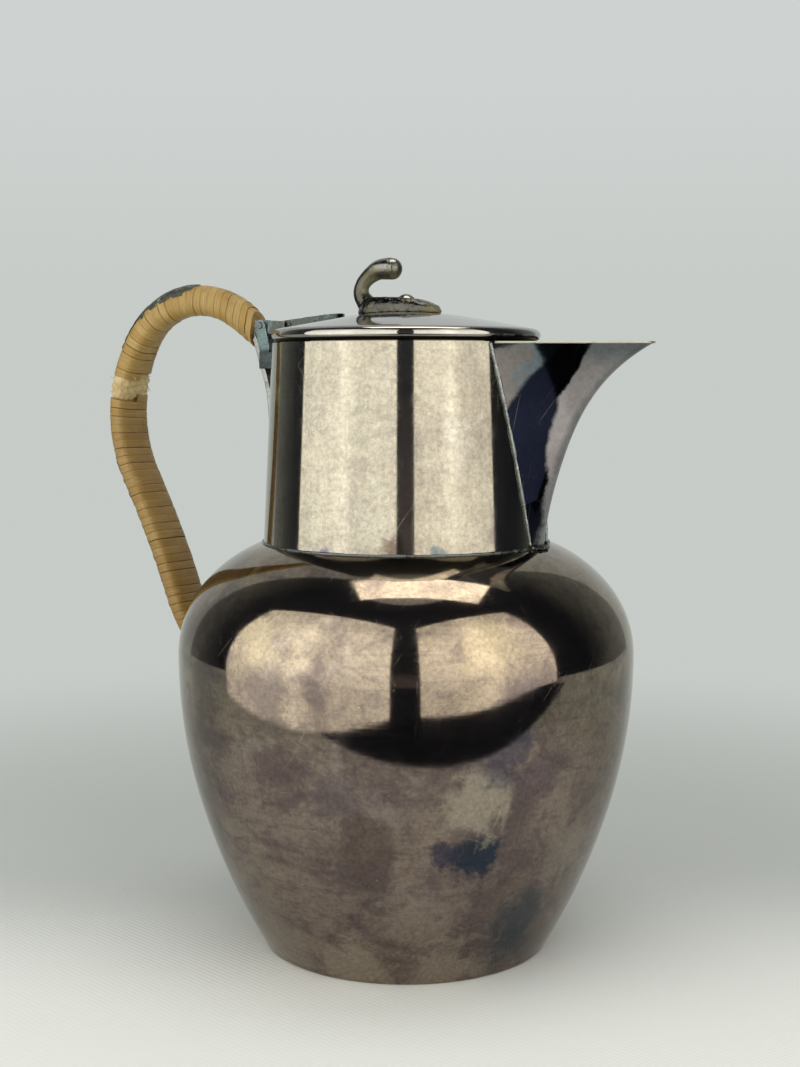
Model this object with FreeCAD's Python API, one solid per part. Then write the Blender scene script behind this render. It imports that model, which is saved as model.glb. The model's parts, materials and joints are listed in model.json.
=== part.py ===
import FreeCAD, Part
import math
import os

Vector = FreeCAD.Vector

# A coffee pot: pear-shaped body, tapered neck with a beak spout, hinged domed
# lid with a scroll thumb piece, and a metal loop handle bound with cane.
# Millimetres. The base centre is the origin, +X runs to the spout, +Z is up.

# Sheet of the body, neck and spout, and of the flat base
sheet = 1.2
base_sheet = 1.1

# Body: radii and heights of its outside, and how far its side leans at each end
base_radius = 44.9
base_flare = 30.0
belly_radius = 70.5
belly_height = 90.8
shoulder_lean = 70.2
neck_foot_radius = 44.0
neck_foot_height = 125.2

# Neck
neck_height = 60.8
rim_radius = 41.0

# Spout: reach beyond the rim, half-widths on the neck, and the keel line
spout_reach = 37.8
spout_top_half_width = 20.1
spout_foot_half_width = 6.4
keel_foot_lift = 0.8
keel_foot_rise = 83.0
keel_tip_rise = 26.0
keel_foot_round = 6.0
keel_tip_round = 3.5
spout_floor_lift = 8.0
spout_sections = 8

# Strainer holes through the neck behind the spout, one more hole in each row up
strainer_rows = 5
strainer_hole_radius = 1.8
strainer_hole_pitch = 6.0
strainer_row_pitch = 7.5
strainer_drop = 14.0

# Lid: edge bead, dome and the bezel that drops into the neck
lid_clearance = 0.3
lid_sheet = 1.0
bead_height = 3.2
bead_overhang = 0.2
bead_bulge = 0.9
dome_inset = 1.0
dome_seat = 0.2
dome_edge_slope = 11.0
dome_rise = 5.3
bezel_depth = 4.0
bezel_sheet = 1.0
bezel_clearance = 1.0

# Hinge: place of its axis behind and above the rim, knuckles and pin
hinge_back = 7.2
hinge_rise = 5.9
hinge_width = 12.0
knuckle_radius = 1.9
middle_knuckle = 4.6
knuckle_gap = 0.2
pin_radius = 0.9
pin_play = 0.05
pin_proud = 0.3
lug_length = 7.2
lug_lean = 1.6
bracket_drop = 2.4
bracket_depth = 5.2

# Strap on the lid, with the block that carries the middle knuckle
block_gap = 0.9
block_length = 6.2
block_height = 4.1
block_above_axis = 1.4
strap_width = 8.0
strap_tip_width = 9.4
strap_tip_from_centre = 21.6
strap_tip_thickness = 1.9

# Thumb scroll, measured from the lid's centre and its dome top
leaf_tail = 15.7
leaf_tip = 11.7
leaf_half_width = 5.2
leaf_back_rise = 5.0
leaf_front_rise = 2.7
leaf_waist_share = 0.15
leaf_end_share = 0.8
leaf_tail_fullness = 0.75
leaf_tip_fullness = 0.5
leaf_front_crest = 0.55
leaf_back_crest = 0.56
curl_root_back = 11.5
curl_root_rise = 1.0
curl_back = 15.1
curl_back_rise = 7.0
curl_head_back = 7.2
curl_head_rise = 13.0
curl_head_length = 2.9
curl_root_radius = 3.0
curl_stem_radius = 2.4
curl_head_radius = 3.3
curl_knob_swell = 0.12
curl_root_heading = 120.0
curl_waist = 0.3
curl_head_fullness = 1.3
curl_stations = 8

# Rivet through the scroll and the dome
rivet_head_radius = 3.3
rivet_head_rise = 5.5
rivet_shank_radius = 1.5
rivet_tail_radius = 2.2
rivet_tail = 0.7
washer_radius = 3.6
washer_thickness = 0.8

# Handle centre line, measured from the hinge axis; headings in degrees in the XZ plane
handle_end_back = 0.1
handle_end_drop = 4.8
handle_end_heading = 133.0
arch_back = 25.7
arch_rise = 8.6
grip_back = 54.1
grip_drop = 28.6
leg_back = 40.6
leg_drop = 67.5
leg_heading = -66.5
foot_height = 86.0
foot_heading = -48.0
foot_run_in = 9.0
handle_setback = 3.2

# Handle section over the cane, at the arch and from the grip down
arch_width = 10.4
arch_depth = 9.8
grip_width = 17.0
grip_depth = 6.4
handle_roundness = 0.95
handle_stations = 20

# Cane winding, and the worn patch that parts it in two
cane_diameter = 2.0
cane_clearance = 0.35
upper_wrap_from = 8.0
patch_from = 67.5
patch_length = 8.0
lower_wrap_clear = 9.2
wrap_end_gap = 2.0
upper_turns = 18
lower_turns = 24
hinge_end_fan = 2.6
hinge_end_fan_length = 26.0
tape_inset = 0.5
tape_stations = 4
gap_samples = 6

# Dark strips along the outside of the winding
spine_width = 6.4
spine_thickness = 1.0
spine_clearance = 0.2
spine_crown = 0.05
spine_stations = 7
upper_spine_from = 32.0
upper_spine_length = 30.0
lower_spine_from = 93.0
lower_spine_length = 56.0

# Strap from the core down to the neck, and the plate at the handle's foot
tongue_thickness = 1.6
tongue_top_back = 4.4
tongue_top_drop = 1.9
tongue_heading = -62.0
tongue_bend_height = 164.0
tongue_stand_off = 3.4
tongue_foot_height = 142.0
tongue_sink = 0.3
tongue_top_half_width = 2.6
tongue_half_width = 5.0
tongue_wide_drop = 12.0
tongue_tip_half_width = 3.4
foot_plate_thickness = 1.5
foot_plate_half_height = 11.0
foot_plate_half_width = 10.0

# Heights, places and leads that follow from the sizes above
cut_lead = 4 * sheet
rim_height = neck_foot_height + neck_height
rim_bore = rim_radius - sheet
lid_seat = rim_height + lid_clearance
bead_radius = rim_radius + bead_overhang
bezel_radius = rim_bore - bezel_clearance
dome_radius = bead_radius - dome_inset
dome_edge_height = lid_seat + bead_height + lid_sheet - dome_seat
dome_top = dome_edge_height + dome_rise
hinge_axis = Vector(-rim_radius - hinge_back, 0, rim_height + hinge_rise)

up = Vector(0, 0, 1)
across = Vector(0, 1, 0)
forward = Vector(1, 0, 0)
origin = Vector(0, 0, 0)
flat_limit = 1e-7


def heading(degrees):
    turn = math.radians(degrees)
    return Vector(math.cos(turn), 0, math.sin(turn))


def line(first, last):
    return Part.LineSegment(first, last).toShape()


def tangent_arc(first, apex, last):
    middle = (first + last) * 0.5
    rise = apex - middle
    if rise.Length < flat_limit:
        return line(first, last)
    half_chord = (last - first).Length / 2
    bend = math.atan2(rise.Length, half_chord)
    crown = middle + rise * (half_chord * math.tan(bend / 2) / rise.Length)
    return Part.Arc(first, crown, last).toShape()


# Two arcs that leave one point along a heading and reach another along a second heading
def biarc(first, leaving, last, arriving):
    chord = last - first
    bend = 2 * (1 - leaving.dot(arriving))
    pull = 2 * chord.dot(leaving + arriving)
    if bend < flat_limit:
        reach = chord.dot(chord) / pull
    else:
        reach = (math.sqrt(pull * pull + 4 * bend * chord.dot(chord)) - pull) / (2 * bend)
    near_apex = first + leaving * reach
    far_apex = last - arriving * reach
    joint = (near_apex + far_apex) * 0.5
    return [tangent_arc(first, near_apex, joint), tangent_arc(joint, far_apex, last)]


def start_of(edge):
    return edge.valueAt(edge.ParameterRange[0])


def end_of(edge):
    return edge.valueAt(edge.ParameterRange[1])


# The same edge moved sideways in the XZ plane, to the left of its travel
def shifted(edge, distance):
    first, last = edge.ParameterRange
    spots = []
    for parameter in (first, (first + last) / 2, last):
        along = edge.tangentAt(parameter)
        left = Vector(-along.z, 0, along.x)
        spots.append(edge.valueAt(parameter) + left * distance)
    if isinstance(edge.Curve, Part.Line):
        return line(spots[0], spots[2])
    return Part.Arc(spots[0], spots[1], spots[2]).toShape()


def face_of(edges):
    return Part.Face(Part.Wire(Part.__sortEdges__(edges)))


def polygon(points):
    return Part.Face(Part.makePolygon(points + [points[0]]))


# A band between two side shifts of one line
def ribbon(edges, near, far):
    near_side = [shifted(edge, near) for edge in edges]
    far_side = [shifted(edge, far) for edge in edges]
    first_end = line(start_of(near_side[0]), start_of(far_side[0]))
    last_end = line(end_of(near_side[-1]), end_of(far_side[-1]))
    return face_of(near_side + far_side + [first_end, last_end])


def turned(face):
    return face.revolve(origin, up, 360)


# The full solid inside an outline, grown outward by a distance
def turned_fill(edges, growth):
    skin = [shifted(edge, -growth) for edge in edges]
    low = start_of(skin[0])
    high = end_of(skin[-1])
    low_axis = Vector(0, 0, low.z)
    high_axis = Vector(0, 0, high.z)
    closing = [line(low_axis, low), line(high, high_axis), line(high_axis, low_axis)]
    return turned(face_of(skin + closing))


# X of a rising outline at a height
def reach_at(edges, height):
    for edge in edges:
        low, high = edge.ParameterRange
        if edge.valueAt(low).z <= height <= edge.valueAt(high).z:
            for halving in range(40):
                middle = (low + high) / 2
                if edge.valueAt(middle).z < height:
                    low = middle
                else:
                    high = middle
            return edge.valueAt(low).x
    raise ValueError("no point of the outline at that height")


def slab(low_height, high_height):
    reach = 2 * (belly_radius + grip_back)
    return Part.makeBox(2 * reach, 2 * reach, high_height - low_height, Vector(-reach, -reach, low_height))


def largest(shape):
    return max(shape.Solids, key=lambda solid: solid.Volume)


def body_outline():
    foot = Vector(base_radius, 0, base_sheet)
    belly = Vector(belly_radius, 0, belly_height)
    seam = Vector(neck_foot_radius, 0, neck_foot_height)
    flare = heading(90 - base_flare)
    shoulder = heading(90 + shoulder_lean)
    return biarc(foot, flare, belly, up) + biarc(belly, up, seam, shoulder)


# The outline with straight leads past both ends, so that flat cuts end the sheet cleanly
def long_outline(outline):
    first = start_of(outline[0])
    last = end_of(outline[-1])
    lead_in = line(first - heading(90 - base_flare) * cut_lead, first)
    lead_out = line(last, last + heading(90 + shoulder_lean) * cut_lead)
    return [lead_in] + outline + [lead_out]


# The body's sheet between two heights: the bowl up to the belly, and the shoulder above it
def make_body_part(outline, low, high):
    shell = turned(ribbon(long_outline(outline), 0, sheet))
    return shell.common(slab(low, high))


def make_base_disc():
    return Part.makeCylinder(base_radius, base_sheet)


def neck_radius_at(height):
    share = (height - neck_foot_height) / neck_height
    return neck_foot_radius + (rim_radius - neck_foot_radius) * share


def neck_fill():
    low = neck_foot_height - cut_lead
    high = rim_height + cut_lead
    return Part.makeCone(neck_radius_at(low), neck_radius_at(high), high - low, Vector(0, 0, low))


def make_neck_collar():
    wall = polygon([
        Vector(neck_foot_radius, 0, neck_foot_height),
        Vector(rim_radius, 0, rim_height),
        Vector(rim_bore, 0, rim_height),
        Vector(neck_foot_radius - sheet, 0, neck_foot_height),
    ])
    collar = turned(wall)
    drills = []
    for row in range(strainer_rows):
        height = rim_height - strainer_drop - row * strainer_row_pitch
        count = strainer_rows - row
        for place in range(count):
            side = (place - (count - 1) / 2) * strainer_hole_pitch
            start = Vector(0, side, height)
            drills.append(Part.makeCylinder(strainer_hole_radius, 2 * neck_foot_radius, start, forward))
    return collar.cut(Part.makeCompound(drills))


def keel_line():
    foot = Vector(neck_foot_radius + keel_foot_lift, 0, neck_foot_height)
    tip = Vector(rim_radius + spout_reach, 0, rim_height)
    lead_in = line(foot - heading(keel_foot_rise) * cut_lead, foot)
    lead_out = line(tip, tip + heading(keel_tip_rise) * 2 * cut_lead)
    return [lead_in] + biarc(foot, heading(keel_foot_rise), tip, heading(keel_tip_rise)) + [lead_out]


# Level section of the beak: straight cheeks that run from the neck to a rounded keel
def spout_section(keel, height, wall):
    share = (height - neck_foot_height) / neck_height
    half_width = spout_foot_half_width + (spout_top_half_width - spout_foot_half_width) * share - wall
    round_radius = keel_foot_round + (keel_tip_round - keel_foot_round) * share - wall
    centre = Vector(reach_at(keel, height) - wall - round_radius, 0, height)
    root = Vector(math.sqrt(neck_radius_at(height) ** 2 - half_width ** 2), half_width, height)
    to_root = root - centre
    turn = math.atan2(to_root.y, to_root.x) - math.acos(round_radius / to_root.Length)
    touch = centre + Vector(math.cos(turn), math.sin(turn), 0) * round_radius
    nose = centre + forward * round_radius
    inside = Vector(0, half_width, height)
    mirror = [Vector(spot.x, -spot.y, spot.z) for spot in (inside, root, touch)]
    return Part.Wire([
        line(mirror[0], mirror[1]),
        line(mirror[1], mirror[2]),
        Part.Arc(mirror[2], nose, touch).toShape(),
        line(touch, root),
        line(root, inside),
        line(inside, mirror[0]),
    ])


def spout_block(keel, low, high, wall):
    sections = []
    for index in range(spout_sections):
        height = low + (high - low) * index / (spout_sections - 1)
        sections.append(spout_section(keel, height, wall))
    return Part.makeLoft(sections, True, False)


def make_spout(body_fill):
    keel = keel_line()
    over = 2 * sheet
    outside = spout_block(keel, neck_foot_height - over, rim_height + over, 0)
    inside = spout_block(keel, neck_foot_height + spout_floor_lift, rim_height + over, sheet)
    beak = outside.cut(inside).cut(neck_fill()).cut(body_fill)
    return largest(beak.common(slab(0, rim_height)))


def dome_line():
    edge = Vector(dome_radius, 0, dome_edge_height)
    top = Vector(0, 0, dome_top)
    return biarc(edge, heading(180 - dome_edge_slope), top, -forward)


def make_lid_dome():
    dome = turned(ribbon(dome_line(), 0, lid_sheet))
    shank = Part.makeCylinder(rivet_shank_radius, 2 * dome_rise, Vector(0, 0, dome_top - dome_rise))
    return dome.cut(shank)


def bead_ring():
    top = lid_seat + bead_height
    shoulder = bead_radius - bead_bulge
    low_shoulder = Vector(shoulder, 0, lid_seat)
    high_shoulder = Vector(shoulder, 0, top)
    bulge = Vector(bead_radius, 0, lid_seat + bead_height / 2)
    low_bore = Vector(bezel_radius, 0, lid_seat)
    high_bore = Vector(bezel_radius, 0, top)
    return turned(face_of([
        line(low_bore, low_shoulder),
        Part.Arc(low_shoulder, bulge, high_shoulder).toShape(),
        line(high_shoulder, high_bore),
        line(high_bore, low_bore),
    ]))


def make_lid_bezel(dome):
    low = rim_height - bezel_depth
    middle_radius = bezel_radius - bezel_sheet / 2
    slope_lift = (dome_radius - middle_radius) * math.tan(math.radians(dome_edge_slope))
    high = dome_edge_height + slope_lift - lid_sheet / 2
    ring = Part.makeCylinder(bezel_radius, high - low, Vector(0, 0, low))
    bore = Part.makeCylinder(bezel_radius - bezel_sheet, high - low, Vector(0, 0, low))
    return ring.cut(bore).cut(dome)


# Everything the lid's sheet encloses, for seating what stands on the lid
def lid_fill():
    edge = Vector(dome_radius, 0, dome_edge_height)
    low = Vector(dome_radius, 0, lid_seat)
    axis_low = Vector(0, 0, lid_seat)
    axis_high = Vector(0, 0, dome_top)
    closing = [line(edge, low), line(low, axis_low), line(axis_low, axis_high)]
    return turned(face_of(dome_line() + closing)).fuse(bead_ring())


def y_cylinder(radius, centre, low, high):
    return Part.makeCylinder(radius, high - low, centre + across * low, across)


def make_hinge_strap(lid):
    block_back = hinge_axis.x + knuckle_radius + block_gap
    block_top = hinge_axis.z + block_above_axis
    half = hinge_width / 2
    block_start = Vector(block_back, -half, block_top - block_height)
    block = Part.makeBox(block_length, hinge_width, block_height, block_start)
    corners = [edge for edge in block.Edges if abs(edge.tangentAt(0).y) > 0.5]
    block = block.makeFillet(block_gap, corners)
    barrel = y_cylinder(knuckle_radius, hinge_axis, -middle_knuckle / 2, middle_knuckle / 2)
    web_height = knuckle_radius + block_above_axis
    web_start = Vector(hinge_axis.x, -middle_knuckle / 2, hinge_axis.z - knuckle_radius)
    web = Part.makeBox(block_back + block_gap - hinge_axis.x, middle_knuckle, web_height, web_start)

    strap_back = block_back + block_length / 2
    tip = -strap_tip_from_centre
    tip_round = strap_tip_width / 2
    tip_seat = reach_height_on_dome(strap_tip_from_centre)
    side = polygon([
        Vector(strap_back, -tip_round, lid_seat),
        Vector(tip, -tip_round, lid_seat),
        Vector(tip, -tip_round, tip_seat + strap_tip_thickness),
        Vector(strap_back, -tip_round, block_top),
    ]).extrude(across * strap_tip_width)
    plan = face_of([
        line(Vector(strap_back, -strap_width / 2, 0), Vector(tip - tip_round, -tip_round, 0)),
        Part.Arc(
            Vector(tip - tip_round, -tip_round, 0),
            Vector(tip, 0, 0),
            Vector(tip - tip_round, tip_round, 0),
        ).toShape(),
        line(Vector(tip - tip_round, tip_round, 0), Vector(strap_back, strap_width / 2, 0)),
        line(Vector(strap_back, strap_width / 2, 0), Vector(strap_back, -strap_width / 2, 0)),
    ]).extrude(up * 2 * rim_height)
    strap = side.common(plan)
    bore = y_cylinder(pin_radius + pin_play, hinge_axis, -half, half)
    whole = block.fuse([barrel, web, strap]).cut(bore).cut(lid)
    return largest(whole.removeSplitter())


def reach_height_on_dome(radius):
    for edge in dome_line():
        low, high = edge.ParameterRange
        if edge.valueAt(high).x <= radius <= edge.valueAt(low).x:
            for halving in range(40):
                middle = (low + high) / 2
                if edge.valueAt(middle).x > radius:
                    low = middle
                else:
                    high = middle
            return edge.valueAt(low).z
    raise ValueError("no point of the dome at that radius")


def curl_line():
    root = Vector(-curl_root_back, 0, dome_top + curl_root_rise)
    back = Vector(-curl_back, 0, dome_top + curl_back_rise)
    head = Vector(-curl_head_back, 0, dome_top + curl_head_rise)
    tip = head + forward * curl_head_length
    rising = heading(curl_root_heading)
    return biarc(root, rising, back, up) + biarc(back, up, head, forward) + [line(head, tip)]


def curl_radius(share):
    if share < curl_waist:
        return curl_root_radius + (curl_stem_radius - curl_root_radius) * share / curl_waist
    swell = min(1, (share - curl_waist) / (1 - curl_waist) * curl_head_fullness)
    return curl_stem_radius + (curl_head_radius - curl_stem_radius) * swell * swell * (3 - 2 * swell)


def point_along(edges, distance):
    for edge in edges:
        if distance <= edge.Length + flat_limit or edge is edges[-1]:
            parameter = edge.getParameterByLength(min(distance, edge.Length))
            return edge.valueAt(parameter), edge.tangentAt(parameter)
        distance -= edge.Length
    raise ValueError("no such distance along the line")


def make_thumb_scroll(lid):
    tail_x = -leaf_tail
    waist_x = tail_x * leaf_waist_share
    tail_side = leaf_half_width * leaf_tail_fullness
    tip_side = leaf_half_width * leaf_tip_fullness
    left = [Vector(tail_x * leaf_end_share, side, 0) for side in (-tail_side, tail_side)]
    right = [Vector(leaf_tip * leaf_end_share, side, 0) for side in (-tip_side, tip_side)]
    plan = face_of([
        Part.Arc(left[0], Vector(waist_x, -leaf_half_width, 0), right[0]).toShape(),
        Part.Arc(right[0], Vector(leaf_tip, 0, 0), right[1]).toShape(),
        Part.Arc(right[1], Vector(waist_x, leaf_half_width, 0), left[1]).toShape(),
        Part.Arc(left[1], Vector(tail_x, 0, 0), left[0]).toShape(),
    ]).extrude(up * 2 * rim_height)
    half = leaf_half_width
    side = polygon([
        Vector(tail_x, -half, lid_seat),
        Vector(leaf_tip, -half, lid_seat),
        Vector(leaf_tip, -half, dome_top - lid_sheet / 2),
        Vector(leaf_tip * leaf_front_crest, -half, dome_top + leaf_front_rise),
        Vector(tail_x * leaf_back_crest, -half, dome_top + leaf_back_rise),
        Vector(tail_x, -half, dome_top + curl_root_rise),
    ]).extrude(across * 2 * half)
    leaf = plan.common(side)

    edges = curl_line()
    length = sum(edge.Length for edge in edges)
    rings = []
    for index in range(curl_stations):
        share = index / (curl_stations - 1)
        spot, along = point_along(edges, share * length)
        rings.append(Part.Wire(Part.makeCircle(curl_radius(share), spot, along)))
    curl = Part.makeLoft(rings, True, False)
    knob = Part.makeSphere(curl_radius(1) + curl_knob_swell, end_of(edges[-1]))
    shank = Part.makeCylinder(rivet_shank_radius, 2 * dome_rise, Vector(0, 0, dome_top - dome_rise))
    scroll = leaf.fuse([curl, knob])
    return largest(scroll.cut(shank).cut(lid))


def make_rivet_washer(dome):
    low = dome_top - lid_sheet - washer_thickness
    disc = Part.makeCylinder(washer_radius, washer_thickness, Vector(0, 0, low))
    bore = Part.makeCylinder(rivet_shank_radius, washer_thickness, Vector(0, 0, low))
    return disc.cut(bore).cut(dome)


def make_scroll_rivet(scroll):
    top = dome_top + rivet_head_rise
    ball = Part.makeSphere(rivet_head_radius, Vector(0, 0, top - rivet_head_radius))
    head = ball.common(slab(dome_top, top + rivet_head_radius))
    tail_low = dome_top - lid_sheet - washer_thickness - rivet_tail
    shank = Part.makeCylinder(rivet_shank_radius, top - rivet_head_radius - tail_low, Vector(0, 0, tail_low))
    tail = Part.makeCylinder(rivet_tail_radius, rivet_tail, Vector(0, 0, tail_low))
    return largest(head.cut(scroll).fuse([shank, tail]).removeSplitter())


def make_hinge_bracket(neck, tongue):
    half = hinge_width / 2
    inner = middle_knuckle / 2 + knuckle_gap
    low_centre = hinge_axis + Vector(lug_lean, 0, -lug_length)
    lugs = []
    for low, high in ((-half, -inner), (inner, half)):
        side_step = (hinge_axis - low_centre).normalize().cross(across) * knuckle_radius
        bar = polygon([
            hinge_axis + side_step + across * low,
            low_centre + side_step + across * low,
            low_centre - side_step + across * low,
            hinge_axis - side_step + across * low,
        ]).extrude(across * (high - low))
        lugs.append(bar)
        lugs.append(y_cylinder(knuckle_radius, hinge_axis, low, high))
        lugs.append(y_cylinder(knuckle_radius, low_centre, low, high))
    foot_top = rim_height - bracket_drop
    foot_back = low_centre.x - knuckle_radius
    foot_start = Vector(foot_back, -half, foot_top - bracket_depth)
    foot = Part.makeBox(-foot_back, hinge_width, bracket_depth, foot_start)
    pin_hole = y_cylinder(pin_radius, hinge_axis, -half, half)
    bracket = foot.cut(neck).fuse(lugs).cut(pin_hole).cut(neck).cut(tongue)
    return largest(bracket.removeSplitter())


def make_hinge_pin():
    reach = hinge_width / 2 + pin_proud
    return y_cylinder(pin_radius, hinge_axis, -reach, reach)


def from_hinge(back, rise):
    return hinge_axis + Vector(-back, 0, rise)


class Handle:
    def __init__(self, outline):
        end = from_hinge(handle_end_back, -handle_end_drop)
        arch = from_hinge(arch_back, arch_rise)
        grip = from_hinge(grip_back, -grip_drop)
        leg = from_hinge(leg_back, -leg_drop)
        foot = Vector(-reach_at(outline, foot_height), 0, foot_height)
        to_arch = biarc(end, heading(handle_end_heading), arch, -forward)
        to_grip = biarc(arch, -forward, grip, -up)
        to_leg = biarc(grip, -up, leg, heading(leg_heading))
        to_foot = biarc(leg, heading(leg_heading), foot, heading(foot_heading))
        run_in = line(foot, foot + heading(foot_heading) * foot_run_in)
        self.edges = to_arch + to_grip + to_leg + to_foot + [run_in]
        self.length = sum(edge.Length for edge in self.edges)
        self.arch_at = sum(edge.Length for edge in to_arch)
        self.grip_at = self.arch_at + sum(edge.Length for edge in to_grip)
        self.foot_at = self.length - foot_run_in

    # Point, direction of travel and outward direction at a distance from the hinge end
    def place(self, distance):
        spot, along = point_along(self.edges, distance)
        return spot, along, across.cross(along)

    # Half-width and half-depth over the cane
    def half_sizes(self, distance):
        share = (distance - self.arch_at) / (self.grip_at - self.arch_at)
        share = min(1, max(0, share))
        share = share * share * (3 - 2 * share)
        width = arch_width + (grip_width - arch_width) * share
        depth = arch_depth + (grip_depth - arch_depth) * share
        return width / 2, depth / 2

    # Rounded section, drawn in from the cane's outside by an inset
    def section(self, distance, inset):
        spot, along, outward = self.place(distance)
        half_width, half_depth = self.half_sizes(distance)
        half_width -= inset
        half_depth -= inset
        corner = handle_roundness * min(half_width, half_depth)
        flat_width = half_width - corner
        flat_depth = half_depth - corner
        corners = []
        for wide, deep in ((1, 1), (-1, 1), (-1, -1), (1, -1)):
            centre = spot + across * (wide * flat_width) + outward * (deep * flat_depth)
            side = centre + across * (wide * corner)
            face = centre + outward * (deep * corner)
            crown = centre + (across * wide + outward * deep) * (corner / math.sqrt(2))
            if wide * deep > 0:
                corners.append((side, crown, face))
            else:
                corners.append((face, crown, side))
        edges = []
        for index in range(4):
            first, crown, last = corners[index]
            edges.append(Part.Arc(first, crown, last).toShape())
            edges.append(line(last, corners[(index + 1) % 4][0]))
        return Part.Wire(edges)

    def bar(self, low, high, inset, stations):
        sections = []
        for index in range(stations):
            distance = low + (high - low) * index / (stations - 1)
            sections.append(self.section(distance, inset))
        return Part.makeLoft(sections, True, False)


def make_handle_core(handle, outline):
    bar = handle.bar(0, handle.length, cane_diameter + cane_clearance, handle_stations)
    back = hinge_axis.x - handle_setback
    reach = 2 * hinge_width
    ahead = Part.makeBox(reach, 2 * reach, 2 * reach, Vector(back, -reach, hinge_axis.z - reach))
    seat = turned_fill(outline, foot_plate_thickness)
    return largest(bar.cut(ahead).cut(seat))


def make_handle_foot(outline):
    plate = turned_fill(outline, foot_plate_thickness).cut(turned_fill(outline, 0))
    centre = Vector(-belly_radius - 2 * foot_plate_thickness, 0, foot_height)
    ellipse = Part.Ellipse(centre, foot_plate_half_height, foot_plate_half_width).toShape()
    ellipse.rotate(centre, across, 90)
    prism = Part.Face(Part.Wire(ellipse)).extrude(forward * belly_radius)
    return largest(plate.common(prism))


def make_handle_tongue(neck, core):
    top = from_hinge(tongue_top_back, -tongue_top_drop)
    half = tongue_thickness / 2
    bend = Vector(-neck_radius_at(tongue_bend_height) - tongue_stand_off, 0, tongue_bend_height)
    foot_radius = neck_radius_at(tongue_foot_height) + half - tongue_sink
    foot = Vector(-foot_radius, 0, tongue_foot_height)
    neck_run = Vector(rim_radius - neck_foot_radius, 0, -neck_height).normalize()
    edges = biarc(top, heading(tongue_heading), bend, -up) + biarc(bend, -up, foot, neck_run)
    width = 2 * tongue_half_width
    strap = ribbon(edges, -half, half).extrude(across * width)
    strap.translate(across * -tongue_half_width)
    wide_height = hinge_axis.z - tongue_wide_drop
    tip_height = tongue_foot_height + tongue_tip_half_width
    far = Vector(2 * hinge_axis.x, 0, 0)
    left = [
        far + Vector(0, -tongue_top_half_width, hinge_axis.z),
        far + Vector(0, -tongue_half_width, wide_height),
        far + Vector(0, -tongue_tip_half_width, tip_height),
    ]
    right = [Vector(spot.x, -spot.y, spot.z) for spot in left]
    tip = far + Vector(0, 0, tongue_foot_height)
    leaf = face_of([
        line(left[0], left[1]),
        line(left[1], left[2]),
        Part.Arc(left[2], tip, right[2]).toShape(),
        line(right[2], right[1]),
        line(right[1], right[0]),
        line(right[0], left[0]),
    ]).extrude(forward * -far.x)
    return largest(strap.common(leaf).cut(neck).cut(core))


# Cane wound round the core as one unbroken tube, four biarcs to a turn. Near the hinge
# the turns fan out, so that the last of them stands upright beside the lugs.
def make_cane_wrap(handle, name, low, high, turns, fan):
    pitch = (high - low) / turns
    radius = cane_diameter / 2

    def distance_at(quarter):
        travel = pitch * quarter / 4
        spread = fan * max(0, 1 - travel / hinge_end_fan_length)
        return low + travel + spread * (-1, 0, 1, 0)[quarter % 4]

    spots = []
    for quarter in range(4 * turns + 1):
        distance = distance_at(quarter)
        spot, along, outward = handle.place(distance)
        half_width, half_depth = handle.half_sizes(distance)
        half_width -= radius
        half_depth -= radius
        offset, around = (
            (outward * -half_depth, across),
            (across * half_width, outward),
            (outward * half_depth, across * -1),
            (across * -half_width, outward * -1),
        )[quarter % 4]
        quarter_run = half_width + half_depth
        advance = (distance_at(quarter + 1) - distance_at(quarter - 1)) / (2 * quarter_run)
        spots.append((spot + offset, (around + along * advance).normalize()))
    first, leaving = spots[0]
    last, arriving = spots[-1]
    tube_start = first - leaving * cane_diameter
    edges = [line(tube_start, first)]
    for index in range(len(spots) - 1):
        edges += biarc(spots[index][0], spots[index][1], spots[index + 1][0], spots[index + 1][1])
    edges.append(line(last, last + arriving * cane_diameter))
    ring = Part.Wire(Part.makeCircle(radius, tube_start, leaving))
    tube = Part.Wire(edges).makePipeShell([ring], True, False)
    print(name, "least gap between turns", round(least_gap(edges), 2))
    return tube


def least_gap(edges):
    samples = []
    for edge in edges:
        first, last = edge.ParameterRange
        for step in range(gap_samples):
            samples.append(edge.valueAt(first + (last - first) * step / gap_samples))
    apart = 4 * gap_samples
    least = cane_diameter * 10
    for index in range(len(samples) - apart):
        for other in range(index + apart, min(len(samples), index + 4 * apart)):
            least = min(least, samples[index].distanceToPoint(samples[other]))
    return least - cane_diameter


def make_binding_tape(handle, core):
    tape = handle.bar(patch_from, patch_from + patch_length, tape_inset, tape_stations)
    return largest(tape.cut(core))


# Curved strip laid along the outside of the winding
def make_spine_strip(handle, low, length):
    sections = []
    half = spine_width / 2
    for index in range(spine_stations):
        distance = low + length * index / (spine_stations - 1)
        spot, along, outward = handle.place(distance)
        half_width, half_depth = handle.half_sizes(distance)
        overhang = max(0, half - (half_width - half_depth))
        drop = half_depth - math.sqrt(half_depth ** 2 - overhang ** 2)
        seat = half_depth + spine_clearance
        rows = []
        for lift in (seat, seat + spine_thickness):
            middle = spot + outward * (lift + spine_crown)
            edge_lift = outward * (lift - drop)
            rows.append((spot + edge_lift - across * half, middle, spot + edge_lift + across * half))
        under, over = rows
        sections.append(Part.Wire([
            Part.Arc(under[0], under[1], under[2]).toShape(),
            line(under[2], over[2]),
            Part.Arc(over[2], over[1], over[0]).toShape(),
            line(over[0], under[0]),
        ]))
    return Part.makeLoft(sections, True, False)


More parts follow.
